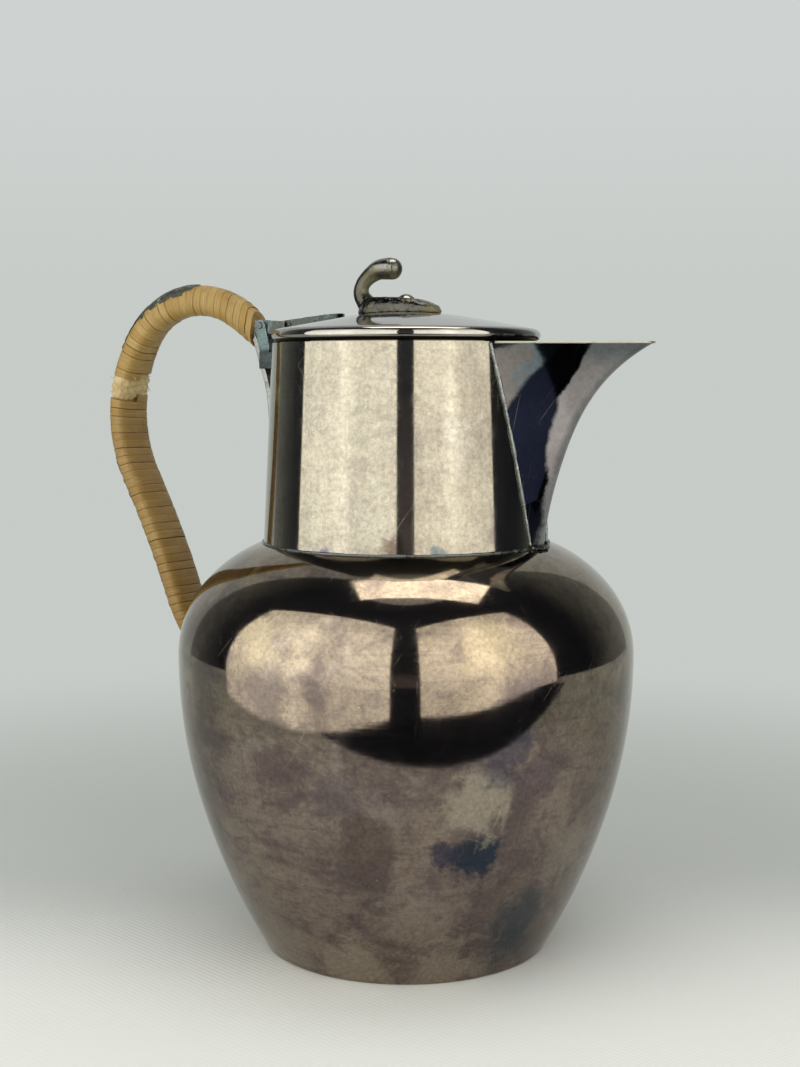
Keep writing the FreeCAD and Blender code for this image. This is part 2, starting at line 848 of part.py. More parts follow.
def make_all():
    outline = body_outline()
    body_fill = turned_fill(long_outline(outline), 0)
    neck = neck_fill()
    lid = lid_fill()
    dome = make_lid_dome()
    handle = Handle(outline)
    core = make_handle_core(handle, outline)
    tongue = make_handle_tongue(neck, core)
    scroll = make_thumb_scroll(lid)
    patch_to = patch_from + patch_length
    lower_wrap_to = handle.foot_at - lower_wrap_clear
    return {
        "body_shell": make_body_part(outline, base_sheet, belly_height),
        "body_shoulder": make_body_part(outline, belly_height, neck_foot_height),
        "base_disc": make_base_disc(),
        "neck_collar": make_neck_collar(),
        "spout": make_spout(body_fill),
        "handle_core": core,
        "handle_tongue": tongue,
        "handle_foot": make_handle_foot(outline),
        "hinge_bracket": make_hinge_bracket(neck, tongue),
        "hinge_pin": make_hinge_pin(),
        "cane_wrap_upper": make_cane_wrap(
            handle, "upper winding", upper_wrap_from, patch_from - wrap_end_gap, upper_turns, hinge_end_fan
        ),
        "cane_wrap_lower": make_cane_wrap(
            handle, "lower winding", patch_to + wrap_end_gap, lower_wrap_to, lower_turns, 0
        ),
        "binding_tape": make_binding_tape(handle, core),
        "spine_strip_upper": make_spine_strip(handle, upper_spine_from, upper_spine_length),
        "spine_strip_lower": make_spine_strip(handle, lower_spine_from, lower_spine_length),
        "lid_dome": dome,
        "lid_bead": bead_ring().cut(dome),
        "lid_bezel": make_lid_bezel(dome),
        "hinge_strap": make_hinge_strap(lid),
        "thumb_scroll": scroll,
        "scroll_rivet": make_scroll_rivet(scroll),
        "rivet_washer": make_rivet_washer(dome),
    }


os.makedirs("parts", exist_ok=True)
for node, shape in make_all().items():
    shape.exportStep("parts/" + node + ".step")
    print(node, shape.isValid(), len(shape.Solids), round(shape.Volume, 1))
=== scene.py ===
import json
import math
import random
import bpy
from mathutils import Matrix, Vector, noise

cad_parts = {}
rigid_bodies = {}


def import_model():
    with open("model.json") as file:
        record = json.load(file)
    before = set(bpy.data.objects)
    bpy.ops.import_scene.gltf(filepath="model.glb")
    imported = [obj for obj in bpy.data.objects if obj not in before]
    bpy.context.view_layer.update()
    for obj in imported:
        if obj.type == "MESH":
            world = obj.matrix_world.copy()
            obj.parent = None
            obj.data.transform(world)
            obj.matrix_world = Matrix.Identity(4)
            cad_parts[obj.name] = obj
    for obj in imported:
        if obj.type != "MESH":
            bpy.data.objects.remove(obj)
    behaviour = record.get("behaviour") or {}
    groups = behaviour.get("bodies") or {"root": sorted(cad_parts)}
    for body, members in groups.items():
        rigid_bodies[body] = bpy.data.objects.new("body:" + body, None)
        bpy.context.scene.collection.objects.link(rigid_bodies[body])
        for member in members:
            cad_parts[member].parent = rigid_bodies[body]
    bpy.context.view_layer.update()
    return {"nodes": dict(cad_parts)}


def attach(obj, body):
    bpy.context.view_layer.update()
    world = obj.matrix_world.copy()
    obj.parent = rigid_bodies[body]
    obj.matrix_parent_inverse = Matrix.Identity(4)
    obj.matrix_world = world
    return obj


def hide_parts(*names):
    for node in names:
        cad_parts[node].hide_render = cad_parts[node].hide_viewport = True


for leftover in list(bpy.data.objects):
    bpy.data.objects.remove(leftover)
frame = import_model()
nodes = frame["nodes"]
scene = bpy.context.scene
scene.view_settings.view_transform = "Standard"
mm = 0.001
across = Vector((0, 1, 0))
up = Vector((0, 0, 1))
print("frame loaded:", len(nodes), "nodes")


def putIn(name, data):
    thing = bpy.data.objects.new(name, data)
    scene.collection.objects.link(thing)
    return thing


# camera, as the photograph stands
shot = {
    "place": (0.2075, -0.4494, 0.1761), "towards": (-0.4226, 0.9063), "pitch": 5.612,
    "lens": 54.08, "sensor": 36, "near": 0.01,
}


def setCamera():
    data = bpy.data.cameras.new("potCamera")
    data.lens = shot["lens"]
    data.sensor_width = shot["sensor"]
    data.clip_start = shot["near"]
    camera = putIn("potCamera", data)
    dip = math.radians(shot["pitch"])
    flat = math.cos(dip)
    look = Vector((shot["towards"][0] * flat, shot["towards"][1] * flat, -math.sin(dip)))
    camera.location = shot["place"]
    camera.rotation_euler = look.to_track_quat("-Z", "Y").to_euler()
    scene.camera = camera


setCamera()


def rgba(colour):
    return (colour[0], colour[1], colour[2], 1.0)


# node helpers
class Desk:
    def __init__(self, tree):
        self.tree = tree

    def feed(self, node, inputs):
        for key, value in inputs.items():
            if isinstance(value, bpy.types.NodeSocket):
                self.tree.links.new(value, node.inputs[key])
            else:
                node.inputs[key].default_value = value

    def add(self, kind, inputs=None, **settings):
        node = self.tree.nodes.new("ShaderNode" + kind)
        for key, value in settings.items():
            setattr(node, key, value)
        self.feed(node, inputs or {})
        return node

    def objectPlace(self):
        return self.add("TexCoord").outputs["Object"]

    def math(self, operation, first, second=0.0, clamp=False):
        return self.add("Math", {0: first, 1: second}, operation=operation, use_clamp=clamp).outputs[0]

    def plus(self, first, second):
        return self.math("ADD", first, second)

    def minus(self, first, second):
        return self.math("SUBTRACT", first, second)

    def times(self, first, second):
        return self.math("MULTIPLY", first, second)

    def vectorMath(self, operation, first, second=(0, 0, 0)):
        return self.add("VectorMath", {0: first, 1: second}, operation=operation).outputs["Value"]

    def axes(self, vector):
        return self.add("SeparateXYZ", {0: vector}).outputs

    def mix(self, share, first, second, blend="MIX"):
        return self.add("Mix", {0: share, 6: first, 7: second}, data_type="RGBA", blend_type=blend).outputs[2]

    # lays each row's colour over the rest: mask, amount, colour
    def layers(self, colour, *rows):
        for mask, amount, tint in rows:
            colour = self.mix(self.times(mask, amount), colour, rgba(tint))
        return colour

    def span(self, value, low, high, toLow=0.0, toHigh=1.0, smooth=True):
        kind = "SMOOTHSTEP" if smooth else "LINEAR"
        inputs = {"Value": value, "From Min": low, "From Max": high, "To Min": toLow, "To Max": toHigh}
        return self.add("MapRange", inputs, interpolation_type=kind).outputs[0]

    def cloud(self, place, scale, detail=5.0, rough=0.55, twist=0.0):
        inputs = {"Vector": place, "Scale": scale, "Detail": detail, "Roughness": rough, "Distortion": twist}
        return self.add("TexNoise", inputs).outputs[0]

    def stretch(self, place, scale=(1, 1, 1), turn=(0, 0, 0), shift=(0, 0, 0)):
        inputs = {"Vector": place, "Scale": scale, "Rotation": turn, "Location": shift}
        return self.add("Mapping", inputs).outputs[0]

    def bump(self, height, strength, distance):
        return self.add("Bump", {"Strength": strength, "Distance": distance, "Height": height}).outputs[0]


def makeGroup(name, inputs, outputs, build):
    tree = bpy.data.node_groups.new(name, "ShaderNodeTree")
    tree.interface.new_socket(name="Place", in_out="INPUT", socket_type="NodeSocketVector")
    for label, value in inputs.items():
        socket = tree.interface.new_socket(name=label, in_out="INPUT", socket_type="NodeSocketFloat")
        socket.default_value = value
    for label in outputs:
        tree.interface.new_socket(name=label, in_out="OUTPUT", socket_type="NodeSocketFloat")
    desk = Desk(tree)
    given = tree.nodes.new("NodeGroupInput").outputs
    desk.feed(tree.nodes.new("NodeGroupOutput"), build(desk, given))
    return tree


# soft-edged stains in two sizes
def buildTarnish(desk, given):
    broad = desk.cloud(given["Place"], given["Scale"], 4, 0.6, 0.7)
    fine = desk.cloud(given["Place"], desk.times(given["Scale"], 4.3), 6, 0.65, 0.2)
    both = desk.plus(desk.times(broad, 0.72), desk.times(fine, 0.28))
    return {"Mask": desk.span(both, given["Level"], desk.plus(given["Level"], given["Softness"]))}


# hairlines in three directions: turn and stretch of each
hairlines = [
    ((0.2, 0.5, 0.3), (2.5, 420, 3.5)), ((0.9, -0.4, 1.1), (420, 3, 4)), ((-0.6, 0.8, -0.5), (3.5, 3, 440)),
]


def buildScratches(desk, given):
    marks = []
    for turn, scale in hairlines:
        place = desk.stretch(desk.stretch(given["Place"], turn=turn), scale)
        line = desk.cloud(place, given["Scale"], 1, 0.4)
        marks.append(desk.span(line, given["Level"], desk.plus(given["Level"], 0.06)))
    return {"Mask": desk.math("MAXIMUM", desk.math("MAXIMUM", marks[0], marks[1]), marks[2])}


# dots of corrosion
def buildSpecks(desk, given):
    cells = desk.add("TexVoronoi", {"Vector": given["Place"], "Scale": given["Scale"]}).outputs["Distance"]
    spots = desk.span(cells, given["Size"], desk.times(given["Size"], 0.4))
    clumps = desk.cloud(given["Place"], desk.times(given["Scale"], 0.21), 3)
    where = desk.span(clumps, given["Level"], desk.plus(given["Level"], 0.12))
    return {"Mask": desk.times(spots, where)}


# rubbed edges and filled hollows, from how sharp the mesh is
def buildRub(desk, given):
    sharp = desk.add("NewGeometry").outputs["Pointiness"]
    broken = desk.times(desk.minus(desk.cloud(given["Place"], given["Scale"], 3), 0.5), 0.03)
    uneven = desk.plus(sharp, broken)
    edge = desk.span(uneven, 0.51, desk.plus(0.51, given["Softness"]))
    hollow = desk.span(uneven, 0.49, desk.minus(0.49, given["Softness"]))
    return {"Edge": edge, "Hollow": hollow}


tarnishGroup = makeGroup("tarnishCloud", {"Scale": 40.0, "Level": 0.5, "Softness": 0.12}, ["Mask"], buildTarnish)
scratchGroup = makeGroup("hairScratches", {"Scale": 8.0, "Level": 0.66}, ["Mask"], buildScratches)
speckGroup = makeGroup("corrosionSpecks", {"Scale": 500.0, "Size": 0.3, "Level": 0.55}, ["Mask"], buildSpecks)
rubGroup = makeGroup("edgeRub", {"Scale": 400.0, "Softness": 0.06}, ["Edge", "Hollow"], buildRub)


def effect(desk, tree, place, shift=None, **inputs):
    inputs["Place"] = desk.stretch(place, shift=shift) if shift else place
    return desk.add("Group", inputs, node_tree=tree).outputs


def tarnish(desk, place, scale, level, softness, shift=None):
    return effect(desk, tarnishGroup, place, shift, Scale=scale, Level=level, Softness=softness)["Mask"]


def specks(desk, place, scale, size, level, shift=None):
    return effect(desk, speckGroup, place, shift, Scale=scale, Size=size, Level=level)["Mask"]


def newMaterial(name):
    material = bpy.data.materials.new(name)
    material.use_nodes = True
    return material, Desk(material.node_tree), material.node_tree.nodes["Principled BSDF"]


print("shared effects ready")


# tarnished silver plate
bodySilver = {
    "base": (0.222, 0.182, 0.134), "brown": (0.096, 0.074, 0.068), "gold": (0.275, 0.230, 0.148),
    "rubbed": (0.285, 0.245, 0.198), "blue": (0.024, 0.032, 0.06), "patch": 0.78, "rubs": 0.6, "golden": 0.45,
    "blueLevel": 0.66, "rough": 0.065, "brush": 0.10, "grain": 0.26, "streak": (40, 40, 900), "haze": 0.09,
    "edge": (0.96, 0.95, 0.92),
}
neckSilver = dict(
    bodySilver, base=(0.254, 0.236, 0.181), brown=(0.138, 0.116, 0.098), gold=(0.285, 0.250, 0.175),
    rubbed=(0.300, 0.285, 0.238), patch=0.44, golden=0.3, blueLevel=0.70, brush=0.14, grain=0.3,
    streak=(700, 700, 40), haze=0.28, edge=(1.0, 1.0, 0.98),
)
spoutSilver = dict(
    bodySilver, base=(0.27, 0.262, 0.258), brown=(0.170, 0.155, 0.148), gold=(0.25, 0.23, 0.20),
    rubbed=(0.31, 0.305, 0.295), patch=0.5, rubs=0.4, golden=0.2, blueLevel=0.72, grain=0.18,
    streak=(300, 300, 40), haze=0.03, edge=(1.0, 1.0, 1.0),
)
lidSilver = dict(
    bodySilver, base=(0.300, 0.288, 0.256), brown=(0.205, 0.185, 0.155), gold=(0.28, 0.25, 0.19),
    rubbed=(0.32, 0.31, 0.28), patch=0.4, rubs=0.4, golden=0.2, blueLevel=0.72, rough=0.05, brush=0.05,
    grain=0.08, haze=0.4, edge=(1.0, 1.0, 1.0),
)
# painted shade: the bezel, seen only through the gap under the lid, is darkened so the gap reads black
bezelSilverAsShade = dict(
    lidSilver, base=(0.10, 0.09, 0.078), brown=(0.05, 0.043, 0.037), gold=(0.12, 0.10, 0.07),
    rubbed=(0.16, 0.15, 0.13), haze=0.05,
)
silverMarks = {"hairline": (0.50, 0.45, 0.37), "speck": (0.06, 0.05, 0.048), "ding": (0.62, 0.57, 0.49)}

# stains on the body: place in mm, radius in mm, colour, strength
bodyStains = [
    ((42.7, -46.6, 43.3), 8.0, (0.020, 0.032, 0.050), 0.92), ((36.0, -52.0, 44.5), 5.0, (0.035, 0.035, 0.06), 0.8),
    ((45.0, -50.2, 59.5), 10.5, (0.33, 0.285, 0.225), 0.8), ((48.3, -25.7, 20.7), 10.0, (0.035, 0.06, 0.072), 0.6),
    ((43.0, -23.8, 8.8), 9.0, (0.03, 0.05, 0.062), 0.6), ((52.1, -46.1, 73.6), 9.0, (0.055, 0.05, 0.085), 0.65),
    ((-6.0, -68.3, 66.0), 11.0, (0.085, 0.058, 0.062), 0.6), ((7.9, -66.9, 60.2), 9.0, (0.12, 0.095, 0.105), 0.5),
    ((17.5, -61.6, 45.9), 12.0, (0.105, 0.075, 0.062), 0.55), ((17.8, -46.0, 9.3), 10.0, (0.125, 0.092, 0.076), 0.5),
    ((24.5, -50.4, 23.5), 10.0, (0.29, 0.245, 0.195), 0.5), ((58.9, -35.1, 66.8), 9.0, (0.095, 0.068, 0.08), 0.6),
    ((58.6, -20.8, 40.0), 11.0, (0.29, 0.25, 0.20), 0.45), ((-11.8, -69.3, 89.6), 9.0, (0.125, 0.10, 0.095), 0.6),
    ((54.8, -44.3, 90.7), 8.0, (0.115, 0.09, 0.09), 0.65), ((-15.8, -66.2, 102.9), 9.0, (0.285, 0.24, 0.155), 0.7),
    ((47.7, -48.9, 102.0), 10.0, (0.285, 0.235, 0.15), 0.7), ((-42.0, 44.0, 50.0), 14.0, (0.09, 0.065, 0.07), 0.6),
    ((6.0, -45.5, 6.0), 13.0, (0.30, 0.25, 0.195), 0.75), ((30.0, -36.0, 5.0), 12.0, (0.29, 0.24, 0.19), 0.7),
    ((-20.0, -42.0, 9.0), 14.0, (0.28, 0.235, 0.19), 0.6), ((20.0, 62.0, 60.0), 13.0, (0.05, 0.06, 0.08), 0.5),
    ((-20.0, 63.0, 30.0), 15.0, (0.29, 0.25, 0.20), 0.5),
]

# stains along the foot of the neck
neckStains = [
    ((-6.7, -43.6, 124.6), 3.0, (0.07, 0.05, 0.10), 0.8), ((15.2, -41.4, 126.8), 4.4, (0.075, 0.05, 0.036), 0.85),
    ((26.6, -35.2, 124.3), 3.2, (0.05, 0.08, 0.10), 0.7), ((38.9, -20.4, 130.0), 3.6, (0.11, 0.09, 0.08), 0.6),
    ((-8.5, 43.0, 127.4), 4.0, (0.10, 0.07, 0.055), 0.7), ((30.0, 32.0, 126.8), 3.0, (0.06, 0.06, 0.10), 0.7),
]

# painted reflection: dark band down the spout between two edges drawn in its side view, standing in for the mirrored
# dark table; dull film behind it
spoutReflectionBand = {
    "dark": (0.0045, 0.0055, 0.0115), "dull": (0.082, 0.077, 0.072), "teal": (0.055, 0.088, 0.105),
    "ragged": 0.0026, "front": 0.0443, "backFoot": (0.0396, 0.167), "backLean": 0.648, "satin": 0.34,
    "frontSteps": [(0.127, 0.147, 0.0035), (0.155, 0.170, 0.0045), (0.170, 0.186, 0.0103)],
}


def paintReflectionOnSpout(desk, place, colour):
    spots = desk.axes(place)
    height = spots["Z"]
    ragged = desk.times(desk.minus(desk.cloud(place, 160, 6, 0.7), 0.5), spoutReflectionBand["ragged"])
    along = desk.plus(spots["X"], ragged)
    front = spoutReflectionBand["front"]
    for low, high, step in spoutReflectionBand["frontSteps"]:
        front = desk.plus(desk.span(height, low, high, 0.0, step, False), front)
    footX, footZ = spoutReflectionBand["backFoot"]
    back = desk.plus(desk.times(desk.minus(height, footZ), spoutReflectionBand["backLean"]), footX)
    back = desk.plus(back, desk.span(height, 0.176, 0.186, 0.0, 0.004, False))
    behind = desk.span(desk.minus(back, along), -0.0006, 0.0012)
    before = desk.span(desk.minus(along, front), -0.0005, 0.0007)
    teal = desk.times(before, desk.span(desk.minus(height, desk.times(ragged, 2.0)), 0.177, 0.184))
    # painted reflection: the dark colour between the two edges
    dark = desk.mix(before, rgba(spoutReflectionBand["dark"]), colour)
    dark = desk.layers(dark, (teal, 0.6, spoutReflectionBand["teal"]))
    film = desk.span(desk.cloud(place, 130, 5, 0.65), 0.42, 0.62)
    dull = desk.layers(
        rgba(spoutReflectionBand["dull"]), (film, 1.0, spoutReflectionBand["teal"]),
        (desk.span(height, 0.182, 0.166), 1.0, spoutReflectionBand["dull"]),
    )
    return desk.mix(behind, dark, dull), desk.times(before, spoutReflectionBand["satin"])


# the film turns cooler below the belly
def coolBody(desk, place, colour):
    low = desk.span(desk.axes(place)["Z"], 0.086, 0.066)
    return desk.mix(low, colour, (1.0, 0.965, 1.085, 1), "MULTIPLY"), 0.0


# painted shade: the crease under the lid's bead is darkened to a black line for the shadow gap
def shadeUnderBead(desk, place, colour):
    shadedCrease = desk.span(desk.axes(place)["Z"], 0.18745, 0.18695)
    return desk.layers(colour, (shadedCrease, 1.0, (0.010, 0.009, 0.008))), desk.times(shadedCrease, 0.35)


def stainRows(desk, place, stains):
    ragged = desk.minus(desk.cloud(place, 120, 8, 0.72, 0.5), 0.5)
    rows = []
    for centre, radius, tint, strength in stains:
        away = desk.vectorMath("DISTANCE", place, [v * mm for v in centre])
        away = desk.plus(away, desk.times(ragged, radius * 3.2 * mm))
        rows.append((desk.span(away, radius * mm * 1.2, radius * mm * 0.5), strength, tint))
    return rows


def silverMaterial(name, look, stains=(), shade=None):
    material, desk, shader = newMaterial(name)
    place = desk.objectPlace()
    broad = tarnish(desk, place, 34, 0.46, 0.16)
    mottle = tarnish(desk, desk.stretch(place, (1, 1, 1.6)), 120, 0.45, 0.2)
    gold = tarnish(desk, place, 58, 0.50, 0.14, (0.6, 0.8, 0.1))
    rubs = tarnish(desk, place, 46, 0.55, 0.13, (0.3, 0.1, 0.2))
    blue = tarnish(desk, place, 52, look["blueLevel"], 0.1, (0.7, 0.4, 0.9))
    lines = effect(desk, scratchGroup, place, Scale=13, Level=0.745)["Mask"]
    dots = specks(desk, place, 900, 0.3, 0.57)
    dings = specks(desk, place, 520, 0.14, 0.6, (0.2, 0.5, 0.3))
    streak = desk.cloud(desk.stretch(place, look["streak"]), 1.0, 4, 0.65)
    colour = desk.layers(
        rgba(look["base"]), (gold, look["golden"], look["gold"]), (broad, look["patch"], look["brown"]),
        (mottle, 0.75 * look["patch"], look["brown"]), (desk.span(streak, 0.48, 0.72), 0.3, look["brown"]),
        (rubs, look["rubs"], look["rubbed"]), (blue, 0.8, look["blue"]),
    )
    satin = 0.0
    if shade:
        colour, satin = shade(desk, place, colour)
    if stains:
        colour = desk.layers(colour, *stainRows(desk, place, stains))
    colour = desk.layers(
        colour, (lines, 0.13, silverMarks["hairline"]), (dots, 0.4, silverMarks["speck"]),
        (dings, 0.45, silverMarks["ding"]),
    )
    grain = desk.span(desk.cloud(place, 800, 6, 0.75), 0.3, 0.7, 1 - look["grain"], 1 + look["grain"], False)
    rough = desk.plus(desk.plus(desk.times(mottle, 0.04), look["rough"]), satin)
    rough = desk.plus(rough, desk.times(lines, 0.08))
    brush = desk.cloud(desk.stretch(place, (40, 40, 2600)), 1.0, 3, 0.6)
    wave = desk.cloud(place, 38, 2, 0.4)
    tallness = desk.plus(desk.times(brush, look["brush"]), desk.times(wave, 1.6))
    tallness = desk.minus(tallness, desk.times(lines, 0.12))
    desk.feed(shader, {
        "Base Color": desk.mix(1.0, colour, grain, "MULTIPLY"), "Metallic": 1.0, "Specular Tint": rgba(look["edge"]),
        "Roughness": desk.plus(rough, desk.times(dots, 0.2)), "Coat Roughness": 0.42,
        "Coat Weight": desk.span(streak, 0.35, 0.7, 0.4 * look["haze"], look["haze"]),
        "Normal": desk.bump(tallness, 0.5, 0.00006),
    })
    return material


# dull hinge metal with verdigris, and solder; crust is how little of it turns green
hingeLooks = {
    "hinge": {
        "name": "hingeMetal", "metal": (0.07, 0.078, 0.082), "green": (0.118, 0.185, 0.178),
        "dark": (0.014, 0.017, 0.016), "pale": (0.34, 0.375, 0.365), "crust": 0.44, "shadeBelow": 0.1862,
    },
    "strap": {
        "name": "strapMetal", "metal": (0.045, 0.05, 0.046), "green": (0.105, 0.165, 0.15),
        "dark": (0.012, 0.014, 0.011), "pale": (0.20, 0.23, 0.20), "crust": 0.50,
    },
    "lip": {
        "name": "lipMetal", "metal": (0.30, 0.29, 0.22), "green": (0.36, 0.36, 0.26),
        "dark": (0.05, 0.042, 0.03), "pale": (0.50, 0.48, 0.38), "crust": 0.25,
    },
    "tongue": {
        "name": "tongueMetal", "metal": (0.155, 0.162, 0.155), "green": (0.10, 0.15, 0.145),
        "dark": (0.02, 0.024, 0.022), "pale": (0.28, 0.30, 0.28), "crust": 0.60,
    },
    "pin": {
        "name": "pinMetal", "metal": (0.06, 0.068, 0.07), "green": (0.10, 0.155, 0.15),
        "dark": (0.014, 0.017, 0.016), "pale": (0.10, 0.12, 0.115), "crust": 0.2,
    },
    "solder": {
        "name": "seamSolder", "metal": (0.11, 0.125, 0.125), "green": (0.105, 0.185, 0.19),
        "dark": (0.02, 0.026, 0.026), "pale": (0.25, 0.265, 0.24), "crust": 0.46,
    },
    "seam": {
        "name": "neckSolder", "metal": (0.06, 0.07, 0.07), "green": (0.07, 0.115, 0.12),
        "dark": (0.016, 0.02, 0.02), "pale": (0.12, 0.13, 0.12), "crust": 0.46,
    },
}


def hingeMaterial(look):
    material, desk, shader = newMaterial(look["name"])
    place = desk.objectPlace()
    crust = tarnish(desk, place, 230, look["crust"], 0.14)
    grime = tarnish(desk, place, 170, 0.52, 0.15, (0.5, 0.2, 0.1))
    worn = effect(desk, rubGroup, place, Scale=600, Softness=0.05)
    dots = specks(desk, place, 1100, 0.36, 0.5)
    colour = desk.layers(
        rgba(look["metal"]), (crust, 1.0, look["green"]), (grime, 0.6, look["dark"]),
        (worn["Hollow"], 0.8, look["dark"]), (worn["Edge"], 0.7, look["pale"]), (dots, 0.6, look["dark"]),
    )
    # painted shade: below this height the bracket is darkened, and loses its green, for the shadow between tongue and
    # neck
    if "shadeBelow" in look:
        height = desk.plus(desk.axes(place)["Z"], desk.times(grime, 0.001))
        paintedShade = desk.span(height, look["shadeBelow"], look["shadeBelow"] - 0.0025, 0.0, 0.85)
        colour = desk.layers(colour, (paintedShade, 1.0, look["dark"]))
        crust = desk.times(crust, desk.minus(1.0, paintedShade))
    rough = desk.plus(desk.times(crust, 0.25), desk.times(grime, 0.12))
    lumps = desk.plus(desk.cloud(place, 420, 5, 0.6), desk.times(crust, 0.6))
    desk.feed(shader, {
        "Base Color": colour, "Metallic": desk.span(crust, 0.0, 1.0, 1.0, 0.15, False),
        "Roughness": desk.plus(rough, 0.24), "Normal": desk.bump(lumps, 0.55, 0.00022),
    })
    return material


# cast scroll: bright on top of the head, where thumbs rub and as a painted highlight; yellow and dark in the hollows
scrollLook = {
    "metal": (0.056, 0.055, 0.049), "rubbed": (0.27, 0.262, 0.235), "hollow": (0.082, 0.075, 0.034),
    "dull": (0.15, 0.138, 0.072), "grime": (0.026, 0.025, 0.022), "inside": (0.9, 0.0, -0.42),
}
rivetLook = dict(scrollLook, metal=(0.26, 0.255, 0.235))


def scrollMaterial(name, look, grit):
    material, desk, shader = newMaterial(name)
    place = desk.objectPlace()
    height = desk.axes(place)["Z"]
    grime = tarnish(desk, place, 260, 0.47, 0.18)
    yellow = tarnish(desk, place, 210, 0.50, 0.14, (0.4, 0.7, 0.2))
    dots = specks(desk, place, 1500, 0.4, 0.5)
    # pale rubbed colour on top of the head: thumb wear, and also a painted highlight
    rubbed = desk.times(desk.span(height, 0.2076, 0.2106), desk.span(grime, 0.9, 0.2, 0.3, 1.0))
    # dull yellow on the inside of the curl
    facing = desk.vectorMath("DOT_PRODUCT", desk.add("TexCoord").outputs["Normal"], look["inside"])
    dull = desk.times(desk.span(facing, 0.0, 0.6), desk.span(height, 0.2085, 0.2055, 0.0, grit))
    colour = desk.layers(
        rgba(look["metal"]), (grime, 0.4 * grit, look["grime"]), (yellow, 0.7 * grit, look["hollow"]),
        (dots, 0.2 * grit, look["grime"]), (rubbed, 0.8, look["rubbed"]), (dull, 1.0, look["dull"]),
    )
    rough = desk.plus(desk.times(grime, 0.2 * grit), desk.times(yellow, 0.15 * grit))
    rough = desk.plus(rough, 0.14 + 0.06 * grit)
    grain = desk.plus(desk.cloud(place, 420, 3, 0.5), desk.times(dots, -0.4))
    desk.feed(shader, {
        "Base Color": colour, "Metallic": desk.span(dull, 0.0, 1.0, 1.0, 0.2, False),
        "Roughness": desk.plus(rough, desk.times(dull, 0.3)), "Normal": desk.bump(grain, 0.25 * grit, 0.00015),
    })
    return material


# split cane, its grain running along each turn
caneLook = {
    "gold": (0.36, 0.222, 0.054), "tan": (0.44, 0.300, 0.100), "brown": (0.20, 0.105, 0.022),
    "line": (0.045, 0.022, 0.007), "fleck": (0.72, 0.64, 0.47),
}


def caneMaterial(name, look):
    material, desk, shader = newMaterial(name)
    place = desk.objectPlace()
    strip = desk.add("UVMap", uv_map="strip").outputs[0]
    turns, sideways = desk.axes(strip)["X"], desk.axes(strip)["Y"]

    def alongStrip(scale, shift, detail, low, high, toLow=0.0, toHigh=1.0):
        lengthwise = desk.stretch(strip, (scale, 0.01, 1), shift=(shift, 0, 0))
        return desk.span(desk.cloud(lengthwise, 1.0, detail), low, high, toLow, toHigh)

    turn = desk.add("TexWhiteNoise", {"W": desk.math("FLOOR", turns)}, noise_dimensions="1D").outputs["Value"]
    fibre = desk.cloud(desk.stretch(strip, (2.6, 15, 1)), 1.0, 5, 0.7, 0.1)
    shade = desk.plus(desk.times(turn, 0.5), desk.times(desk.cloud(place, 60, 4, 0.6), 0.7))
    worn = tarnish(desk, place, 95, 0.52, 0.14)
    colour = desk.layers(
        rgba(look["gold"]), (desk.span(shade, 0.25, 0.95), 1.0, look["tan"]),
        (desk.span(fibre, 0.46, 0.68), 0.62, look["brown"]), (worn, 0.35, look["brown"]),
        # painted shade: darker towards the bottom of the handle
        (desk.span(desk.axes(place)["Z"], 0.182, 0.155, 0.0, 0.42), 1.0, look["brown"]),
    )
    # dark or pale line where one turn meets the next
    edge = desk.math("ABSOLUTE", desk.minus(sideways, 0.5))
    jitter = desk.times(desk.minus(desk.cloud(desk.stretch(strip, (9, 1, 1)), 1.0, 3), 0.5), 0.06)
    border = desk.span(desk.plus(edge, jitter), 0.455, 0.495)
    lineColour = desk.layers(rgba(look["line"]), (alongStrip(1.7, 5.3, 2, 0.57, 0.61), 1.0, look["fleck"]))
    colour = desk.mix(desk.times(border, alongStrip(2.3, 1.7, 3, 0.40, 0.62, 0.1, 0.72)), colour, lineColour)
    # most turns are two narrow strips side by side
    middle = desk.math("ABSOLUTE", desk.plus(desk.minus(sideways, 0.52), jitter))
    split = alongStrip(1.9, 8.1, 3, 0.42, 0.60, 0.06, 0.55)
    colour = desk.mix(desk.times(desk.span(middle, 0.03, 0.008), split), colour, lineColour)
    colour = desk.layers(
        colour, (specks(desk, place, 420, 0.22, 0.6), 0.8, look["line"]),
        (specks(desk, place, 330, 0.2, 0.66, (0.37, 0.11, 0.53)), 0.85, look["fleck"]),
    )
    rough = desk.plus(desk.times(fibre, 0.25), desk.times(worn, 0.12))
    desk.feed(shader, {
        "Base Color": colour, "Roughness": desk.plus(rough, 0.30), "Specular IOR Level": 0.3,
        "Normal": desk.bump(fibre, 0.5, 0.00018),
    })
    return material


# frayed pale binding under the cane
bindingLook = {"cream": (0.50, 0.37, 0.155), "white": (0.64, 0.53, 0.27), "stain": (0.34, 0.22, 0.09)}


def bindingMaterial(name, look):
    material, desk, shader = newMaterial(name)
    place = desk.objectPlace()
    fibre = desk.cloud(desk.stretch(place, (260, 2200, 700), (0.2, 0.1, 0.4)), 1.0, 4, 0.65, 0.3)
    colour = desk.layers(
        rgba(look["cream"]), (tarnish(desk, place, 150, 0.44, 0.2), 1.0, look["white"]),
        (tarnish(desk, place, 120, 0.56, 0.12, (0.2, 0.6, 0.4)), 0.55, look["stain"]),
        (desk.span(fibre, 0.5, 0.75), 0.3, look["stain"]),
    )
    desk.feed(shader, {
        "Base Color": colour, "Roughness": desk.span(fibre, 0.2, 0.8, 0.6, 0.9, False), "Sheen Weight": 0.12,
        "Normal": desk.bump(fibre, 0.8, 0.0003),
    })
    return material


# worn dark strip along the back of the handle
stripLook = {
    "black": (0.026, 0.029, 0.020), "green": (0.074, 0.080, 0.052),
    "scuff": (0.40, 0.39, 0.31), "crack": (0.008, 0.008, 0.007),
}


